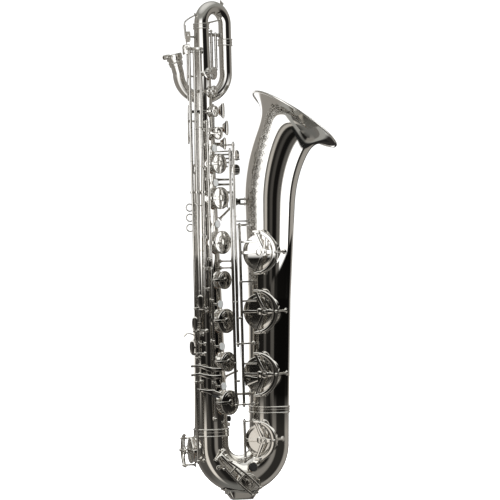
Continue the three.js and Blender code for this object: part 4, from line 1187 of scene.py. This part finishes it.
def upright_key(key, waypoints=(), rings=()):
    hinge = hinge_of(key)[0]
    cup = cups[key]
    spin = spin_of(key)
    part = Part()
    low, high = SPANS[key]
    hinge_barrel(part, hinge, Z, low - hinge[2], high - hinge[2], [r - hinge[2] for r in rings])
    cup_metal(part, cup)
    cup_arm(part, cup, hinge, Z, waypoints)
    if key in PEARLS:
        pearl_touch(key, part, cup, hinge, PEARLS[key], spin)
    cup_pad(key, cup, spin)
    return part, spin, hinge, cup


def make_stack_keys():
    for key in ("small_c_key", "lh_b_key", "lh_a_key", "lh_g_key", "rh_f_sharp_key", "rh_f_key",
                "rh_e_key", "rh_d_key"):
        part, spin = upright_key(key)[:2]
        finish_key(key, part, spin)


def paddle(part, points, long, thick=3.0):
    """Leaf-shaped touch: a broad rounded plate, its length along Z."""
    end, tip = np.asarray(points[-2], float), np.asarray(points[-1], float)
    middle = (end + tip) / 2
    broad = np.linalg.norm(tip - end)
    heights = np.linspace(-0.5, 0.5, 25)
    crown = unit(np.cross(tip - end, Z))
    path = [middle + Z * (long * h) + crown * (1.6 * (4 * h * h - 1)) * 0.6 for h in heights]
    width = broad * np.sqrt(np.maximum(1 - (2 * np.abs(heights)) ** 3.2, 0.02))
    sweep(part, path, width, thick * np.sqrt(np.maximum(1 - (2 * np.abs(heights)) ** 6, 0.05)),
          unit(tip - end), 24, 0.75)


def at_height(points, z):
    return [vec(x, y, z) for x, y in points]


GUIDE_Z = 690


def make_side_keys():
    plans = {
        "side_e_key": (446, [(-21, -48), (-35, -44)], (), (520, 610, 700, 790, 880)),
        "side_c_key": (398, [(-34, -41), (-46, -36)], (vec(-6, -27, 915),), (470, 560, 650, 740, 830)),
        "side_b_flat_key": (345, [(-40, -28), (-50, -24)], (vec(-14, -27, 870), vec(2, -29, 870)),
                            (430, 540, 650, 760)),
    }
    for key, (z, points, waypoints, rings) in plans.items():
        part, spin, hinge = upright_key(key, waypoints, rings)[:3]
        path = bent([vec(hinge[0], hinge[1], z), *at_height(points, z)])
        sweep(part, path, np.linspace(6, 5, len(path)), 2.6, Z, 16, 0.7)
        paddle(part, at_height(points, z), 32)
        finish_key(key, part, spin)
    # Guides that steady the long tubes: a saddle with an eye on each tube.
    guides = Part()
    for key in plans:
        line = hinge_of(key)[0]
        place = vec(line[0], line[1], GUIDE_Z)
        root = surface_point(vec(0, 0, GUIDE_Z), body_radius(GUIDE_Z), place)
        revolve(guides, [(0.01, -1.5), (5, -1.5), (5, 0.4), (2.4, 1.6), (2.0, 3.5)], root, place - root, 20)
        sweep(guides, [root, root + unit(place - root) * (np.linalg.norm(place - root) - 4.6)], 3.6, sides=14)
        revolve(guides, [(3.75, -2.3), (5.3, -2.3), (5.6, -1.6), (5.6, 1.6), (5.3, 2.3), (3.75, 2.3)], place,
                Z, 32, loop=True)
    fitting("side_key_guides", guides)


def make_palm_keys():
    """Three keys high on the body, each with a spoon that the left palm presses."""
    for key, z, reach, long in (("palm_f_key", 873, 48, 32), ("palm_e_flat_key", 834, 56, 30),
                                ("palm_d_key", 799, 50, 24)):
        part, spin, hinge = upright_key(key)[:3]
        path = bent([vec(hinge[0], hinge[1], z), vec(38, 16, z), vec(reach, 13, z)])
        sweep(part, path, np.linspace(6.5, 5, len(path)), 3, Z, 16, 0.7)
        # Spoon that curls round the palm.
        curl = ((-11, 7), (-4, 4), (2, 8), (3, 18))
        leaf = bent([vec(reach + out, y, z) for out, y in curl])
        rise = np.sin(np.linspace(0.35, math.pi - 0.35, len(leaf))) ** 0.6
        sweep(part, leaf, (long + 4) * rise, 3.0, Z, 28, 0.8)
        finish_key(key, part, spin)


def make_bell_keys():
    for key, reach in (("low_a_key", 24), ("low_b_flat_key", 24), ("low_b_key", 24), ("low_c_sharp_key", 0)):
        part, spin, hinge, cup = upright_key(key)
        if reach:
            # A second arm, level with the first, braces the cup's upper half.
            start = hinge + Z * reach
            over = cup.spot(cup.seat + 7.4) + Z * reach
            knee = start + cup.facing * ((over - start) @ cup.facing)
            end = over - cup.aside * 6 - cup.facing * 1.6
            sweep(part, bent([start, knee, end], 0.42, 8), 4.4, 3.0, Z, 16, 0.7)
        if key == "low_b_key":
            # Web below its arm: tall at the hinge tube, running out over the cup.
            edge = cup.spot(cup.seat + 8) - cup.aside * 34
            web = [edge + cup.aside * t - Z * (14 - t * 0.1) for t in np.linspace(-2, 30, 16)]
            sweep(part, web, np.linspace(24, 8, 16), 2.2, Z, 20, 0.5)
        finish_key(key, part, spin)


def make_table_levers():
    """Left little finger's two long levers, each ending in a finger that pulls its bell key."""
    plans = {"table_b_flat_lever": ([(55, -50), (67, -55)], 770, 408),
             "table_b_lever": ([(50.5, -52), (67, -57)], 738, 268)}
    for key, (points, z, finger_z) in plans.items():
        hinge = hinge_of(key)[0]
        low, high = SPANS[key]
        part = Part()
        rings = [r - hinge[2] for r in np.linspace(low + 90, high - 60, 4)]
        hinge_barrel(part, hinge, Z, low - hinge[2], high - hinge[2], rings, LEVER_OUTER)
        x, y = hinge[0], hinge[1]
        path = bent([vec(x, y, z), *at_height(points, z)])
        sweep(part, path, np.linspace(7, 6, len(path)), 2.8, Z, 16, 0.7)
        paddle(part, at_height(points, z), 24, 3.2)
        finger = bent([vec(x, y, finger_z), vec(x, y - 8, finger_z), vec(x + 8, y - 9, finger_z)])
        sweep(part, finger, 5, 2.6, Z, 14, 0.7)
        finish_key(key, part)
        roller = Part()
        tip = vec((points[0][0] + points[1][0]) / 2, points[1][1] - 1.6, z - 9)
        revolve(roller, [(0.01, -7), (1.0, -7), (1.7, -6.2), (2.1, 0), (1.7, 6.2), (1.0, 7), (0.01, 7)],
                tip, unit(vec(17, -2, 0)), 24)
        piece(key + "_roller", roller, [KEY], key)


def make_low_e_flat_key():
    """Key on the bow, with a long lever round the body's foot and a rubber roller."""
    key = "low_e_flat_key"
    part, spin, hinge = upright_key(key)[:3]
    lever = [(hinge[0], hinge[1], 250), (-34, -51, 250), (-12, -58, 246), (8, -60, 240)]
    path = bent([vec(*p) for p in lever], 0.45, 8)
    sweep(part, path, fade(len(path), [0, 0.6, 0.85, 1], [7, 7, 14, 8]), 2.8, Z, 20, 0.7)
    finish_key(key, part, spin)
    roller = Part()
    revolve(roller, [(0.01, -9), (1.3, -9), (2.1, -7.5), (2.4, 0), (2.1, 7.5), (1.3, 9), (0.01, 9)],
            vec(-1, -60.6, 235.5), unit(vec(20, -2, -6)), 24)
    piece(key + "_roller", roller, [RUBBER], key)


def make_low_c_key():
    key = "low_c_key"
    hinge, axis = hinge_of(key)
    cup = cups[key]
    spin = spin_of(key)
    part = Part()
    hinge_barrel(part, hinge, axis, -9.5, 9.5)
    cup_metal(part, cup)
    top = cup.spot(cup.seat + 7.4)
    path = bent([hinge, hinge - Y * 6, top], 0.2, 8)
    last_leg = [path[-2] + (path[-1] - path[-2]) * t for t in np.linspace(0.1, 1, 8)]
    path = np.concatenate([path[:-1], last_leg])
    sweep(part, path, np.linspace(8, 6, len(path)), 3.2, axis, 20, 0.7)
    revolve(part, [(5.6, 6.2), (5.2, 7.4), (4.6, 8.8), (0.01, 9.4), (0.01, 6.2)], cup.spot(cup.seat),
            cup.facing, 32)
    cup_pad(key, cup, spin)
    finish_key(key, part, spin)


def make_octave_lever():
    hinge = hinge_of("octave_lever")[0]
    face = hinge[0] - 4
    part = Part()
    hinge_barrel(part, hinge, Y, -5.4, 5.4)
    revolve(part, [(0.01, -12), (1.5, -12), (1.5, 12), (0.01, 12)], hinge, Y, 16)
    stem = [vec(face - 1.2 * math.sin(t * math.pi), 0, hinge[2] - 46 + 82 * t) for t in np.linspace(0, 1, 22)]
    sweep(part, stem, fade(22, [0, 0.5, 1], [9, 8, 5]), 2.4, Y, 18, 0.7)
    sweep(part, [hinge, hinge - X * 4], 7, 6, Y, 14)
    thumb = [vec(face - 1.4, 0, hinge[2] - 51 + 26 * t) for t in np.linspace(0, 1, 17)]
    leaf = 15 * np.sqrt(np.maximum(1 - np.abs(np.linspace(-1, 1, 17)) ** 3, 0.03))
    sweep(part, thumb, leaf, 3.2, Y, 24, 0.75)
    finish_key("octave_lever", part)


def make_octave_rocker():
    hinge = hinge_of("octave_rocker")[0]
    face = hinge[0] - 4
    low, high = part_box("octave_rocker")
    part = Part()
    hinge_barrel(part, hinge, Y, -5.4, 5.4)
    revolve(part, [(0.01, -12), (1.5, -12), (1.5, 12), (0.01, 12)], hinge, Y, 16)
    stem = bent([vec(face, 0, low.z / MM + 1), vec(face - 1.5, 0, hinge[2] - 20),
                 vec(face, 0, hinge[2] + 20), vec(face, 0, PIP_Z + 8)])
    sweep(part, stem, np.linspace(6.5, 5.5, len(stem)), 2.4, Y, 18, 0.7)
    sweep(part, [hinge, hinge - X * 4], 6, 5, Y, 14)
    revolve(part, [(0.01, -0.5), (4.8, -0.5), (4.9, 3.5), (4.2, 5.0), (2.2, 5.6), (0.01, 5.6)],
            vec(-body_radius(PIP_Z) - 7.6, 0, PIP_Z), -X, 28)
    pin = bent([vec(face, 0, PIP_Z + 4), vec(face - 1.5, 0, PIP_Z + 28), vec(face - 3, 0, high.z / MM - 1)])
    sweep(part, pin, 2.8, sides=16)
    ball(part, pin[-1], 2.1, 18)
    finish_key("octave_rocker", part)
    cork = Part()
    revolve(cork, [(0.01, 0), (4.2, 0), (4.2, 1.4), (0.01, 1.4)], vec(-body_radius(PIP_Z) - 6.2, 0, PIP_Z),
            -X, 24)
    piece("octave_rocker_cork", cork, [CORK], "octave_rocker")


def make_springs():
    """Needle springs from the posts to the hinge tubes."""
    part = Part()
    for body, heights in (("lh_a_key", [719, 637, 541]), ("rh_f_key", [449, 358, 266]),
                          ("low_a_key", [614, 488, 350])):
        line = hinge_of(body)[0]
        for z in heights:
            start = vec(line[0] - 3.0, line[1] + 3.2, z)
            end = vec(line[0] - 4.6, line[1] + 2.4, z - 34)
            sweep(part, [start, (start + end) / 2 + vec(-0.6, 0.6, 0), end], [0.9, 0.8, 0.5], sides=8)
    piece("needle_springs", part, [STEEL])


def stub(part, root, tip, thick=4.0, foot=5.0):
    """Round bar with a flange at its root."""
    sweep(part, straight(root, tip, 7), fade(7, [0, 0.3, 1], [thick * 1.5, thick, thick]), sides=18)
    if foot:
        flange(part, root, tip - root, foot)


def skin_point(place, sunk):
    """The point of the body's surface next to a place, sunk a little."""
    return unit(vec(place[0], place[1], 0)) * (body_radius(place[2]) - sunk) + Z * place[2]


def make_octave_bracket():
    """Octave bracket and its guard wire."""
    part = Part()
    wire = bent([vec(-14, -4, 1087), vec(-30, -3, 1079), vec(-40, -2, 1070), vec(-37, -2, 1034)], 0.35)
    sweep(part, wire, 3.4, sides=16)
    flange(part, vec(-14, -4, 1087), vec(-1, 0, -0.4), 5)
    for place, facing, wide, tall in ((vec(-37, -15, 1010), -116, 13, 22), (vec(-33, -9, 1038), -122, 11, 24),
                                      (vec(-41, 2, 1010), 176, 20, 22)):
        out, aside = ray(facing), ray(facing + 90)
        leaf = [place + aside * t for t in np.linspace(-wide / 2, wide / 2, 14)]
        sweep(part, leaf, fade(14, [0, 0.1, 0.9, 1], [tall - 4, tall, tall, tall - 4]), 2.6, Z, 24, 0.45)
        stub(part, skin_point(place, 0.4), place, 4.0)
        revolve(part, [(0.01, 1.0), (3.2, 1.0), (3.2, 2.2), (2.2, 3.0), (0.01, 3.1)], place + Z * 4, out, 24)
    fitting("octave_bracket", part)


def make_crook_fittings():
    """The spare hinge tubes beside the body, the crook's strut and its two tabs."""
    part = Part()
    way = unit(vec(CROOK_X, CROOK_Y, 0))
    end = vec(CROOK_X, CROOK_Y, 1079)
    stub(part, way * 15 + Z * 1069, end - way * 13.6, 3.6, 4.5)
    flange(part, end - way * 13.8, -way, 4.5)
    for x, y, low, high in ((25.5, 12, 965, 1048), (35.5, 13, 970, 1042)):
        base = vec(x, y, low)
        hinge_barrel(part, base, Z, 0, high - low, (18, 40, 62))
        revolve(part, [(0.01, -6), (1.5, -6), (1.5, high - low + 6), (0.01, high - low + 6)], base, Z, 14)
        for z in (low - 4, high + 4):
            place = vec(x, y, z)
            post(part, skin_point(place, 0.3), place, Z, 0.8)
    for spread, tall in ((-0.32, 17), (0.28, 15)):
        root = vec(CROOK_X / 2, CROOK_Y / 2, CROOK_Z) + way * 24 + Z * 38
        lean = unit(way * (0.45 + spread) + Z)
        leaf = [root + lean * tall * t + way * 2.2 * math.sin(t * math.pi) for t in np.linspace(0, 1, 12)]
        sweep(part, leaf, fade(12, [0, 0.2, 0.7, 1], [4, 5.5, 6.5, 3]), 2.0, np.cross(way, Z), 16, 0.7)
    fitting("crook_fittings", part)


RAIL_OUT = 45.4  # the cross bars' distance from the body's axis


def make_body_rails():
    """Cross bars, stop arms and little hooks along the long side tubes."""
    part = Part()
    for z, first, last in ((431, -1.9, -2.52), (381, -1.95, -2.62), (330, -2.1, -2.75), (1010, -1.9, -2.6)):
        angles = np.linspace(first, last, 24)
        bar = [vec(RAIL_OUT * math.cos(a), RAIL_OUT * math.sin(a), z) for a in angles]
        sweep(part, bar, 6.0, 2.2, Z, 18, 0.6)
        for end in (bar[0], bar[-1]):
            stub(part, skin_point(end, 0.3), end, 3.4, 4.6)
            ball(part, end, 2.8, 16)
    hooks = [("side_e_key", z) for z in (474, 520, 590, 742, 829)]
    hooks += [("side_c_key", z) for z in (352, 436, 660)] + [("side_b_flat_key", 390)]
    for key, z in hooks:
        line = hinge_of(key)[0]
        out = unit(vec(line[0], line[1], 0))
        side = np.cross(Z, out)
        start = out * (body_radius(z) - 0.3) + side * 5.5 + Z * z
        hook = bent([start, out * 35 + side * 6.2 + Z * z, out * 46 + side * 5.5 + Z * (z + 1),
                     out * 47 + side * 0.5 + Z * (z + 2), out * 46 - side * 4.5 + Z * (z + 6)], 0.4)
        sweep(part, hook, np.linspace(3.4, 2.0, len(hook)), sides=14)
        flange(part, start, out, 4.2)
    fitting("side_key_rails", part)


def make_centre_fittings():
    """Struts, bars and bumpers in the gap between the body and the bell."""
    part = Part()
    stub(part, vec(32, 3, 630), vec(55, 2, 652), 5.0, 6)
    ball(part, vec(55, 2, 652), 3.6, 18)
    stub(part, vec(36, 4, 276), vec(62, 0, 288), 4.6, 6)
    ball(part, vec(62, 0, 288), 3.4, 18)
    for z, reach in ((774, 58), (765, 62), (756, 60), (747, 52)):
        stub(part, vec(body_radius(z) - 1, -1, z), vec(reach, -5, z), 4.2, 0)
    for z in (718, 707):
        stub(part, vec(body_radius(z) - 1, -1, z), vec(63, -5, z), 5.0, 0)
        ball(part, vec(63, -5, z), 3.4, 16)
    stub(part, vec(46, -3, 689), vec(63, -5, 689), 6.0, 0)
    plate = [vec(61, -5, z) for z in np.linspace(738, 782, 12)]
    sweep(part, plate, fade(12, [0, 0.15, 0.85, 1], [8, 11, 11, 8]), 3.0, X, 20, 0.6)
    for z, reach in ((624, 32), (616, 26)):
        bell_side = bell_x(z) - bell_radius(z)
        stub(part, vec(bell_side + 1, -12, z), vec(bell_side - reach, -14, z), 3.0, 4.5)
    for z in (520, 535):
        stub(part, vec(body_radius(z) - 0.5, -12, z), vec(50, -22, z), 3.4, 4.5)
        ball(part, vec(50, -22, z), 3.0, 16)
    fitting("centre_fittings", part)


def make_gap_bumpers():
    """Two stops between the body and the bell, one rubber and one plated, and a rubber stop in a plated cup
    on the bow.
    """
    stops = Part()
    revolve(stops, [(0.01, -2), (6.0, -2), (6.4, 0), (6.4, 5.5), (5.6, 6.4), (0.01, 6.4)],
            vec(body_radius(179) + 1, 0, 182), X, 32)
    revolve(stops, [(0.01, -2), (4.6, -2), (4.6, 4.0), (3.8, 4.8), (0.01, 4.8)],
            vec(body_radius(179) + 1, 0, 169), X, 32, slot=1)
    on_bow = vec(82.4, -46, 74.3)
    revolve(stops, [(0.01, -9), (11.2, -9), (11.4, -1), (10.4, 0.6), (9.6, 0.8), (9.6, 0), (0.01, 0)],
            on_bow, -Y, 40, slot=1)
    revolve(stops, [(0.01, 0), (9.6, 0), (9.5, 3.0), (8.2, 4.6), (4, 5.2), (0.01, 5.3)], on_bow, -Y, 40)
    piece("gap_bumpers", stops, [RUBBER, KEY])


def make_low_c_guard():
    """Cage over the low C cup: two long bars, cross pieces, a boss and four legs on the bow."""
    cup = cups["low_c_key"]
    along = unit(vec(0.73, 0, -0.684))
    across = unit(np.cross(along, cup.facing))
    centre = cup.spot(cup.seat + 25) - along * 8
    part = Part()
    for side in (-1, 1):
        bar = [centre + along * t + across * side * 13 * (1 - 0.25 * (t / 50) ** 2) for t in
               np.linspace(-62, 34, 30)]
        sweep(part, bar, 4.6, 2.6, across, 18, 0.6)
        for t, splay in ((-58, 0), (31, 10)):
            top = centre + along * t + across * side * 12
            offset = top - cup.facing * 26 + along * splay + across * side * 8
            reach = offset - vec(BOW_SPAN, 0, BOW_Z)
            ring_way = unit(vec(reach[0], 0, reach[2]))
            spine = vec(BOW_SPAN, 0, BOW_Z) + ring_way * BOW_SPAN
            foot = spine + unit(offset - spine) * (BOW_MID - 1)
            leg = bent([top, top - cup.facing * 8, foot], 0.4)
            sweep(part, leg, np.linspace(4.4, 5.0, len(leg)), sides=16)
            flange(part, foot, foot - spine, 5.5)
            ball(part, top, 3.2, 18)
    for t in (-40, -14, 12, 30):
        cross = [centre + along * t + across * s for s in np.linspace(-12.5, 12.5, 12)]
        sweep(part, cross, 4.0, 2.4, along, 16, 0.6)
    revolve(part, [(6.0, -1.8), (6.4, -1), (6.4, 1.4), (4.2, 2.2), (4.0, 3.8), (0.01, 4.2), (0.01, -1.8)],
            centre + along * 10, cup.facing, 32)
    fitting("low_c_cage", part)
    bumper = Part()
    revolve(bumper, [(0.01, 0), (5, 0), (4.8, -2.4), (0.01, -2.6)], centre + along * 10 - cup.facing * 1.6,
            cup.facing, 28)
    piece("low_c_bumper", bumper, [FELT])


PLATES_OUT = 56  # their distance from the body's axis


def make_little_finger_plates():
    """Bowed touch plates for the right little finger that lie across the front of the body."""
    part = Part()
    for z, drop in ((303, 8), (283, 3)):
        path = []
        for t in np.linspace(0, 1, 26):
            angle = -2.62 + 1.3 * t
            wave = 2.5 * math.sin(t * 6.3)
            path.append(vec(PLATES_OUT * math.cos(angle), PLATES_OUT * math.sin(angle), z - drop * t + wave))
        sweep(part, path, fade(26, [0, 0.2, 0.8, 1], [5, 6, 10, 7]), 2.6, Z, 20, 0.7)
        for t in (2, 17):
            point = path[t]
            root = unit(vec(point[0], point[1], 0)) * (body_radius(z) - 0.3) + Z * point[2]
            stub(part, root, point, 3.6, 5)
    fitting("little_finger_plates", part)


def build():
    make_body_tube()
    make_lower_bow()
    make_bell()
    mouth, lean = make_crook()
    make_ferrules()
    make_receiver(mouth, lean)
    make_bell_brace()
    make_braces()
    make_strap_rings()
    make_thumb_pieces()
    make_bow_guard()
    make_guards()
    make_rods()
    make_stack_keys()
    make_side_keys()
    make_palm_keys()
    make_bell_keys()
    make_table_levers()
    make_low_e_flat_key()
    make_low_c_key()
    make_octave_lever()
    make_octave_rocker()
    make_springs()
    make_octave_bracket()
    make_crook_fittings()
    make_body_rails()
    make_centre_fittings()
    make_gap_bumpers()
    make_low_c_guard()
    make_little_finger_plates()


# ---------------------------------------------------------------- studio
VIEW_AZIMUTH = math.radians(-14)
ROLL = math.radians(1.44)
LENS, DISTANCE = 200, 6.22
LOOK_ASIDE, LOOK_UP = 0.0967, 0.5586


def view_axes():
    """The camera's right, up and backward directions."""
    level = Vector((math.cos(VIEW_AZIMUTH), math.sin(VIEW_AZIMUTH), 0))
    right = level * math.cos(ROLL) - Vector((0, 0, 1)) * math.sin(ROLL)
    up = level * math.sin(ROLL) + Vector((0, 0, 1)) * math.cos(ROLL)
    return level, right, up, right.cross(up)


def make_camera():
    level, right, up, back = view_axes()
    camera = bpy.data.cameras.new("camera")
    camera.lens = LENS
    camera.clip_end = 40
    holder = bpy.data.objects.new("camera", camera)
    bpy.context.scene.collection.objects.link(holder)
    target = level * LOOK_ASIDE + Vector((-BOW_SPAN * MM, 0, LOOK_UP))
    turn = Matrix((right, up, back)).transposed().to_4x4()
    holder.matrix_world = Matrix.Translation(target + back * DISTANCE) @ turn
    bpy.context.scene.camera = holder
    bpy.context.scene.view_settings.view_transform = "Standard"
    bpy.context.scene.view_settings.look = "Medium High Contrast"


# The room that the plating reflects. Its panels are (first bearing, last bearing, grey), in degrees from
# the camera's side, + to its right. Between two panels the grey changes evenly.
HIGH_ROOM = [(-180, -172, 0.04), (-168, -152, 1.2), (-146, -72, 0.31), (-68, -31, 1.6), (-28, -27, 0.08),
             (-20, -13, 0.5), (-9, -2, 0.025), (5, 11, 0.085), (16, 30, 0.012), (37, 48, 0.14),
             (55, 97, 1.6), (101, 109, 0.03), (115, 150, 0.36), (156, 180, 0.04)]
LOW_ROOM = [(-180, -172, 0.03), (-168, -154, 0.9), (-125, -84, 0.07), (-78, -70, 0.33), (-66, -34, 0.018),
            (-26, -22, 0.1), (-13, 5, 0.018), (10, 24, 0.11), (29, 130, 0.006), (152, 166, 0.45),
            (172, 180, 0.03)]
FOOT_ROOM = [(-180, -150, 0.2), (-110, -58, 0.1), (-50, -34, 0.75), (-29, -8, 0.07), (2, 14, 0.02),
             (24, 38, 0.26), (46, 96, 0.04), (108, 136, 0.34), (150, 180, 0.2)]
TOP_ROOM = [(-180, -64, 0.28), (-58, -57, 0.1), (-50, -34, 0.37), (-28, 12, 1.3), (23, 80, 0.02),
            (92, 180, 0.28)]
ROOM_WARMTH = (1.05, 1.0, 0.93)
# Heights on the instrument, in metres, where one room gives way to the next.
PANEL_EDGE, PANEL_SLOPE = 0.478, 0.317  # lower edge of the right panel, and its rise round the room
LEFT_EDGE, BODY_EDGE = 0.545, 0.495  # lower edge of the left panel, on the bell and on the body
EDGE_BLUR = 0.006
BODY_BLUR = 0.11  # the body's edge rises that much more slowly
TOP_START, TOP_FULL = 0.90, 0.96
FOOT_HIGH, FOOT_LOW = 0.24, 0.16
# Slopes of the reflected ray, down or up, between which a panel gives way to the floor or the ceiling.
PANEL_FALL, FLOOR_FALL, LOW_FALL = (0.39, 0.43), (0.56, 0.64), (0.08, 0.3)
TOP_RISE, LOW_RISE = (0.2, 0.45), (0.3, 0.5)
ROOM_RADIUS, ROOM_LOW, ROOM_HIGH = 2.3, -2.2, 3.4
FLOOR_RADIUS = 6.0
ROOM_GLOW = 1.6  # brightness of the white panels
BODY_SIDE = 0.004  # rays pass the room's middle on the left of this when they come from the body


def grey(level, warmth=0.0):
    return (level, level, level - warmth, 1)


class Room(Tree):
    """Node tree of a glow whose brightness depends on bearing and height."""

    def __init__(self, tree):
        super().__init__(tree)
        tree.nodes.clear()

    def along(self, place, which):
        """Share of a vector along one of the camera's axes."""
        axis = view_axes()[which]
        return self.plus(self.times(place[0], axis.x), self.times(place[1], axis.y))

    def bearing(self, x, y):
        """Bearing as a share of the full turn: 0.5 is the camera's side."""
        turned = self.math("ARCTAN2", self.along((x, y), 0), self.along((x, y), 3))
        return self.plus(self.math("DIVIDE", turned, 2 * math.pi), 0.5)

    def pattern(self, share, room):
        ramp = self.make("ShaderNodeValToRGB")
        self.link(share, ramp.inputs["Fac"])
        elements = ramp.color_ramp.elements
        stops = [(edge, level) for first, last, level in room for edge in (first, last)]
        for index, (degrees, level) in enumerate(stops):
            spot = degrees / 360 + 0.5
            element = elements[index] if index < 2 else elements.new(spot)
            element.position = spot
            tint = ROOM_WARMTH if level < 1 else (1, 1, 1)
            element.color = (*[level * part / ROOM_GLOW for part in tint], 1)
        return ramp.outputs["Color"]


def round_wall():
    points, faces = [], []
    sides = 96
    for i in range(sides):
        angle = 2 * math.pi * i / sides
        for height in (ROOM_LOW, ROOM_HIGH):
            points.append((ROOM_RADIUS * math.cos(angle), ROOM_RADIUS * math.sin(angle), height))
        faces.append((2 * i, 2 * i + 1, (2 * i + 3) % (2 * sides), (2 * i + 2) % (2 * sides)))
    mesh = bpy.data.meshes.new("surround")
    mesh.from_pydata(points, [], faces)
    return mesh


def over_the_edge(room, share, place, ray_way, origin):
    """How far above the white panels' lower edge a ray left the plating."""
    right = room.math("GREATER_THAN", share, 0.5)
    slope = room.times(room.minus(share, 0.5), PANEL_SLOPE)
    right_edge = room.times(right, room.plus(slope, PANEL_EDGE - LEFT_EDGE))
    on_bell = room.minus(origin, room.plus(right_edge, LEFT_EDGE))
    # Rays from the body pass the room's middle on its left, rays from the bell on its right.
    offset = room.minus(room.times(room.along(place, 3), room.along(ray_way, 0)),
                        room.times(room.along(place, 0), room.along(ray_way, 3)))
    body = room.times(room.less(offset, BODY_SIDE), room.minus(1.0, right))
    on_body = room.times(room.minus(origin, BODY_EDGE), BODY_BLUR)
    return right, room.plus(room.times(body, on_body), room.times(room.minus(1.0, body), on_bell))


def make_surround():
    """Round wall that only the plating sees: white panels above, a dark room with gaps below."""
    mesh = round_wall()
    material = bpy.data.materials.new("surround")
    material.use_nodes = True
    room = Room(material.node_tree)
    place = room.split(room.make("ShaderNodeTexCoord").outputs["Object"])
    ray_way = room.split(room.make("ShaderNodeNewGeometry").outputs["Incoming"])
    share = room.bearing(place[0], place[1])
    # Height of the plating that the ray left, found from the ray's slope.
    fall = ray_way[2]
    level_part = room.math("SQRT", room.minus(1.0, room.times(fall, fall)))
    origin = room.plus(place[2], room.times(room.math("DIVIDE", fall, level_part), ROOM_RADIUS))
    right, over_edge = over_the_edge(room, share, place, ray_way, origin)
    dim = room.times(right, room.rise(fall, *PANEL_FALL))
    high_room = room.mix(dim, room.pattern(share, HIGH_ROOM), grey(0.015))
    high_room = room.mix(room.rise(fall, *FLOOR_FALL), high_room, grey(0.24, 0.01))
    rising = room.times(fall, -1)
    top_room = room.mix(room.rise(rising, *TOP_RISE), room.pattern(share, TOP_ROOM), grey(0.2, 0.01))
    high_room = room.mix(room.rise(origin, TOP_START, TOP_FULL), high_room, top_room)
    foot_room = room.pattern(share, FOOT_ROOM)
    low_room = room.mix(room.rise(origin, FOOT_HIGH, FOOT_LOW), room.pattern(share, LOW_ROOM), foot_room)
    low_room = room.mix(room.rise(fall, *LOW_FALL), low_room, foot_room)
    low_room = room.mix(room.rise(rising, *LOW_RISE), low_room, grey(0.7, 0.02))
    shine = room.make("ShaderNodeEmission")
    upper = room.rise(over_edge, -EDGE_BLUR, EDGE_BLUR)
    room.link(room.mix(upper, low_room, high_room), shine.inputs["Color"])
    shine.inputs["Strength"].default_value = ROOM_GLOW
    room.link(shine.outputs[0], room.make("ShaderNodeOutputMaterial").inputs["Surface"])
    mesh.materials.append(material)
    wall = bpy.data.objects.new("surround", mesh)
    bpy.context.scene.collection.objects.link(wall)
    wall.visible_camera = False
    wall.visible_diffuse = False
    wall.visible_shadow = False


def make_world():
    """White to the camera; to the plating a floor with pale and dark panels, and a pale ceiling."""
    world = bpy.data.worlds.new("studio")
    bpy.context.scene.world = world
    world.use_nodes = True
    room = Room(world.node_tree)
    x, y, z = room.split(room.make("ShaderNodeTexCoord").outputs["Generated"])
    ceiling = room.mix(room.rise(z, 0.5, 0.95), grey(0.1, 0.003), grey(0.47, 0.01))
    floor = room.mix(room.rise(room.times(z, -1), 0.75, 0.98), room.pattern(room.bearing(x, y), FOOT_ROOM),
                     grey(0.12, 0.005))
    inside = room.make("ShaderNodeBackground")
    inside.inputs["Strength"].default_value = ROOM_GLOW
    room.link(room.mix(room.rise(z, -0.02, 0.02), floor, ceiling), inside.inputs["Color"])
    white = room.make("ShaderNodeBackground")
    white.inputs["Color"].default_value = grey(1)
    either = room.make("ShaderNodeMixShader")
    seen = room.make("ShaderNodeLightPath")
    room.feed(either.inputs, (seen.outputs["Is Camera Ray"], inside.outputs[0], white.outputs[0]))
    room.link(either.outputs[0], room.make("ShaderNodeOutputWorld").inputs["Surface"])


def make_floor():
    """Pale round floor."""
    mesh = bpy.data.meshes.new("floor")
    shape = bmesh.new()
    bmesh.ops.create_circle(shape, cap_ends=True, segments=96, radius=FLOOR_RADIUS)
    bmesh.ops.translate(shape, verts=shape.verts, vec=(0, 0, -0.001))
    shape.to_mesh(mesh)
    shape.free()
    n = Nodes("pale_floor")
    tone = n.noise(3, 3, 0.5)
    n.finish(n.ramp(tone, (0.93, 0.93, 0.93), (0.95, 0.95, 0.95), 0.3, 0.7), None, None, Roughness=0.8)
    n.shader.inputs["Emission Color"].default_value = (1, 1, 1, 1)
    n.shader.inputs["Emission Strength"].default_value = 0.78
    mesh.materials.append(n.material)
    floor = bpy.data.objects.new("floor", mesh)
    bpy.context.scene.collection.objects.link(floor)
    floor.visible_glossy = False


def area_light(name, azimuth, height, distance, size, power):
    level, back = view_axes()[::3]
    angle = math.radians(azimuth)
    way = back * math.cos(angle) + level * math.sin(angle)
    lamp = bpy.data.lights.new(name, "AREA")
    lamp.energy, lamp.size = power, size
    holder = bpy.data.objects.new(name, lamp)
    bpy.context.scene.collection.objects.link(holder)
    place = Vector((way.x * distance, way.y * distance, height))
    aim = (Vector((0, 0, 0.55)) - place).to_track_quat("-Z", "Y")
    holder.matrix_world = Matrix.Translation(place) @ aim.to_matrix().to_4x4()
    holder.visible_glossy = False


def make_studio():
    make_camera()
    make_world()
    make_surround()
    make_floor()
    area_light("key_light", -35, 2.2, 3.0, 1.6, 60)
    area_light("fill_light", 60, 1.4, 3.2, 2.0, 40)
    area_light("back_light", 170, 2.4, 2.6, 1.6, 40)


build()
make_studio()
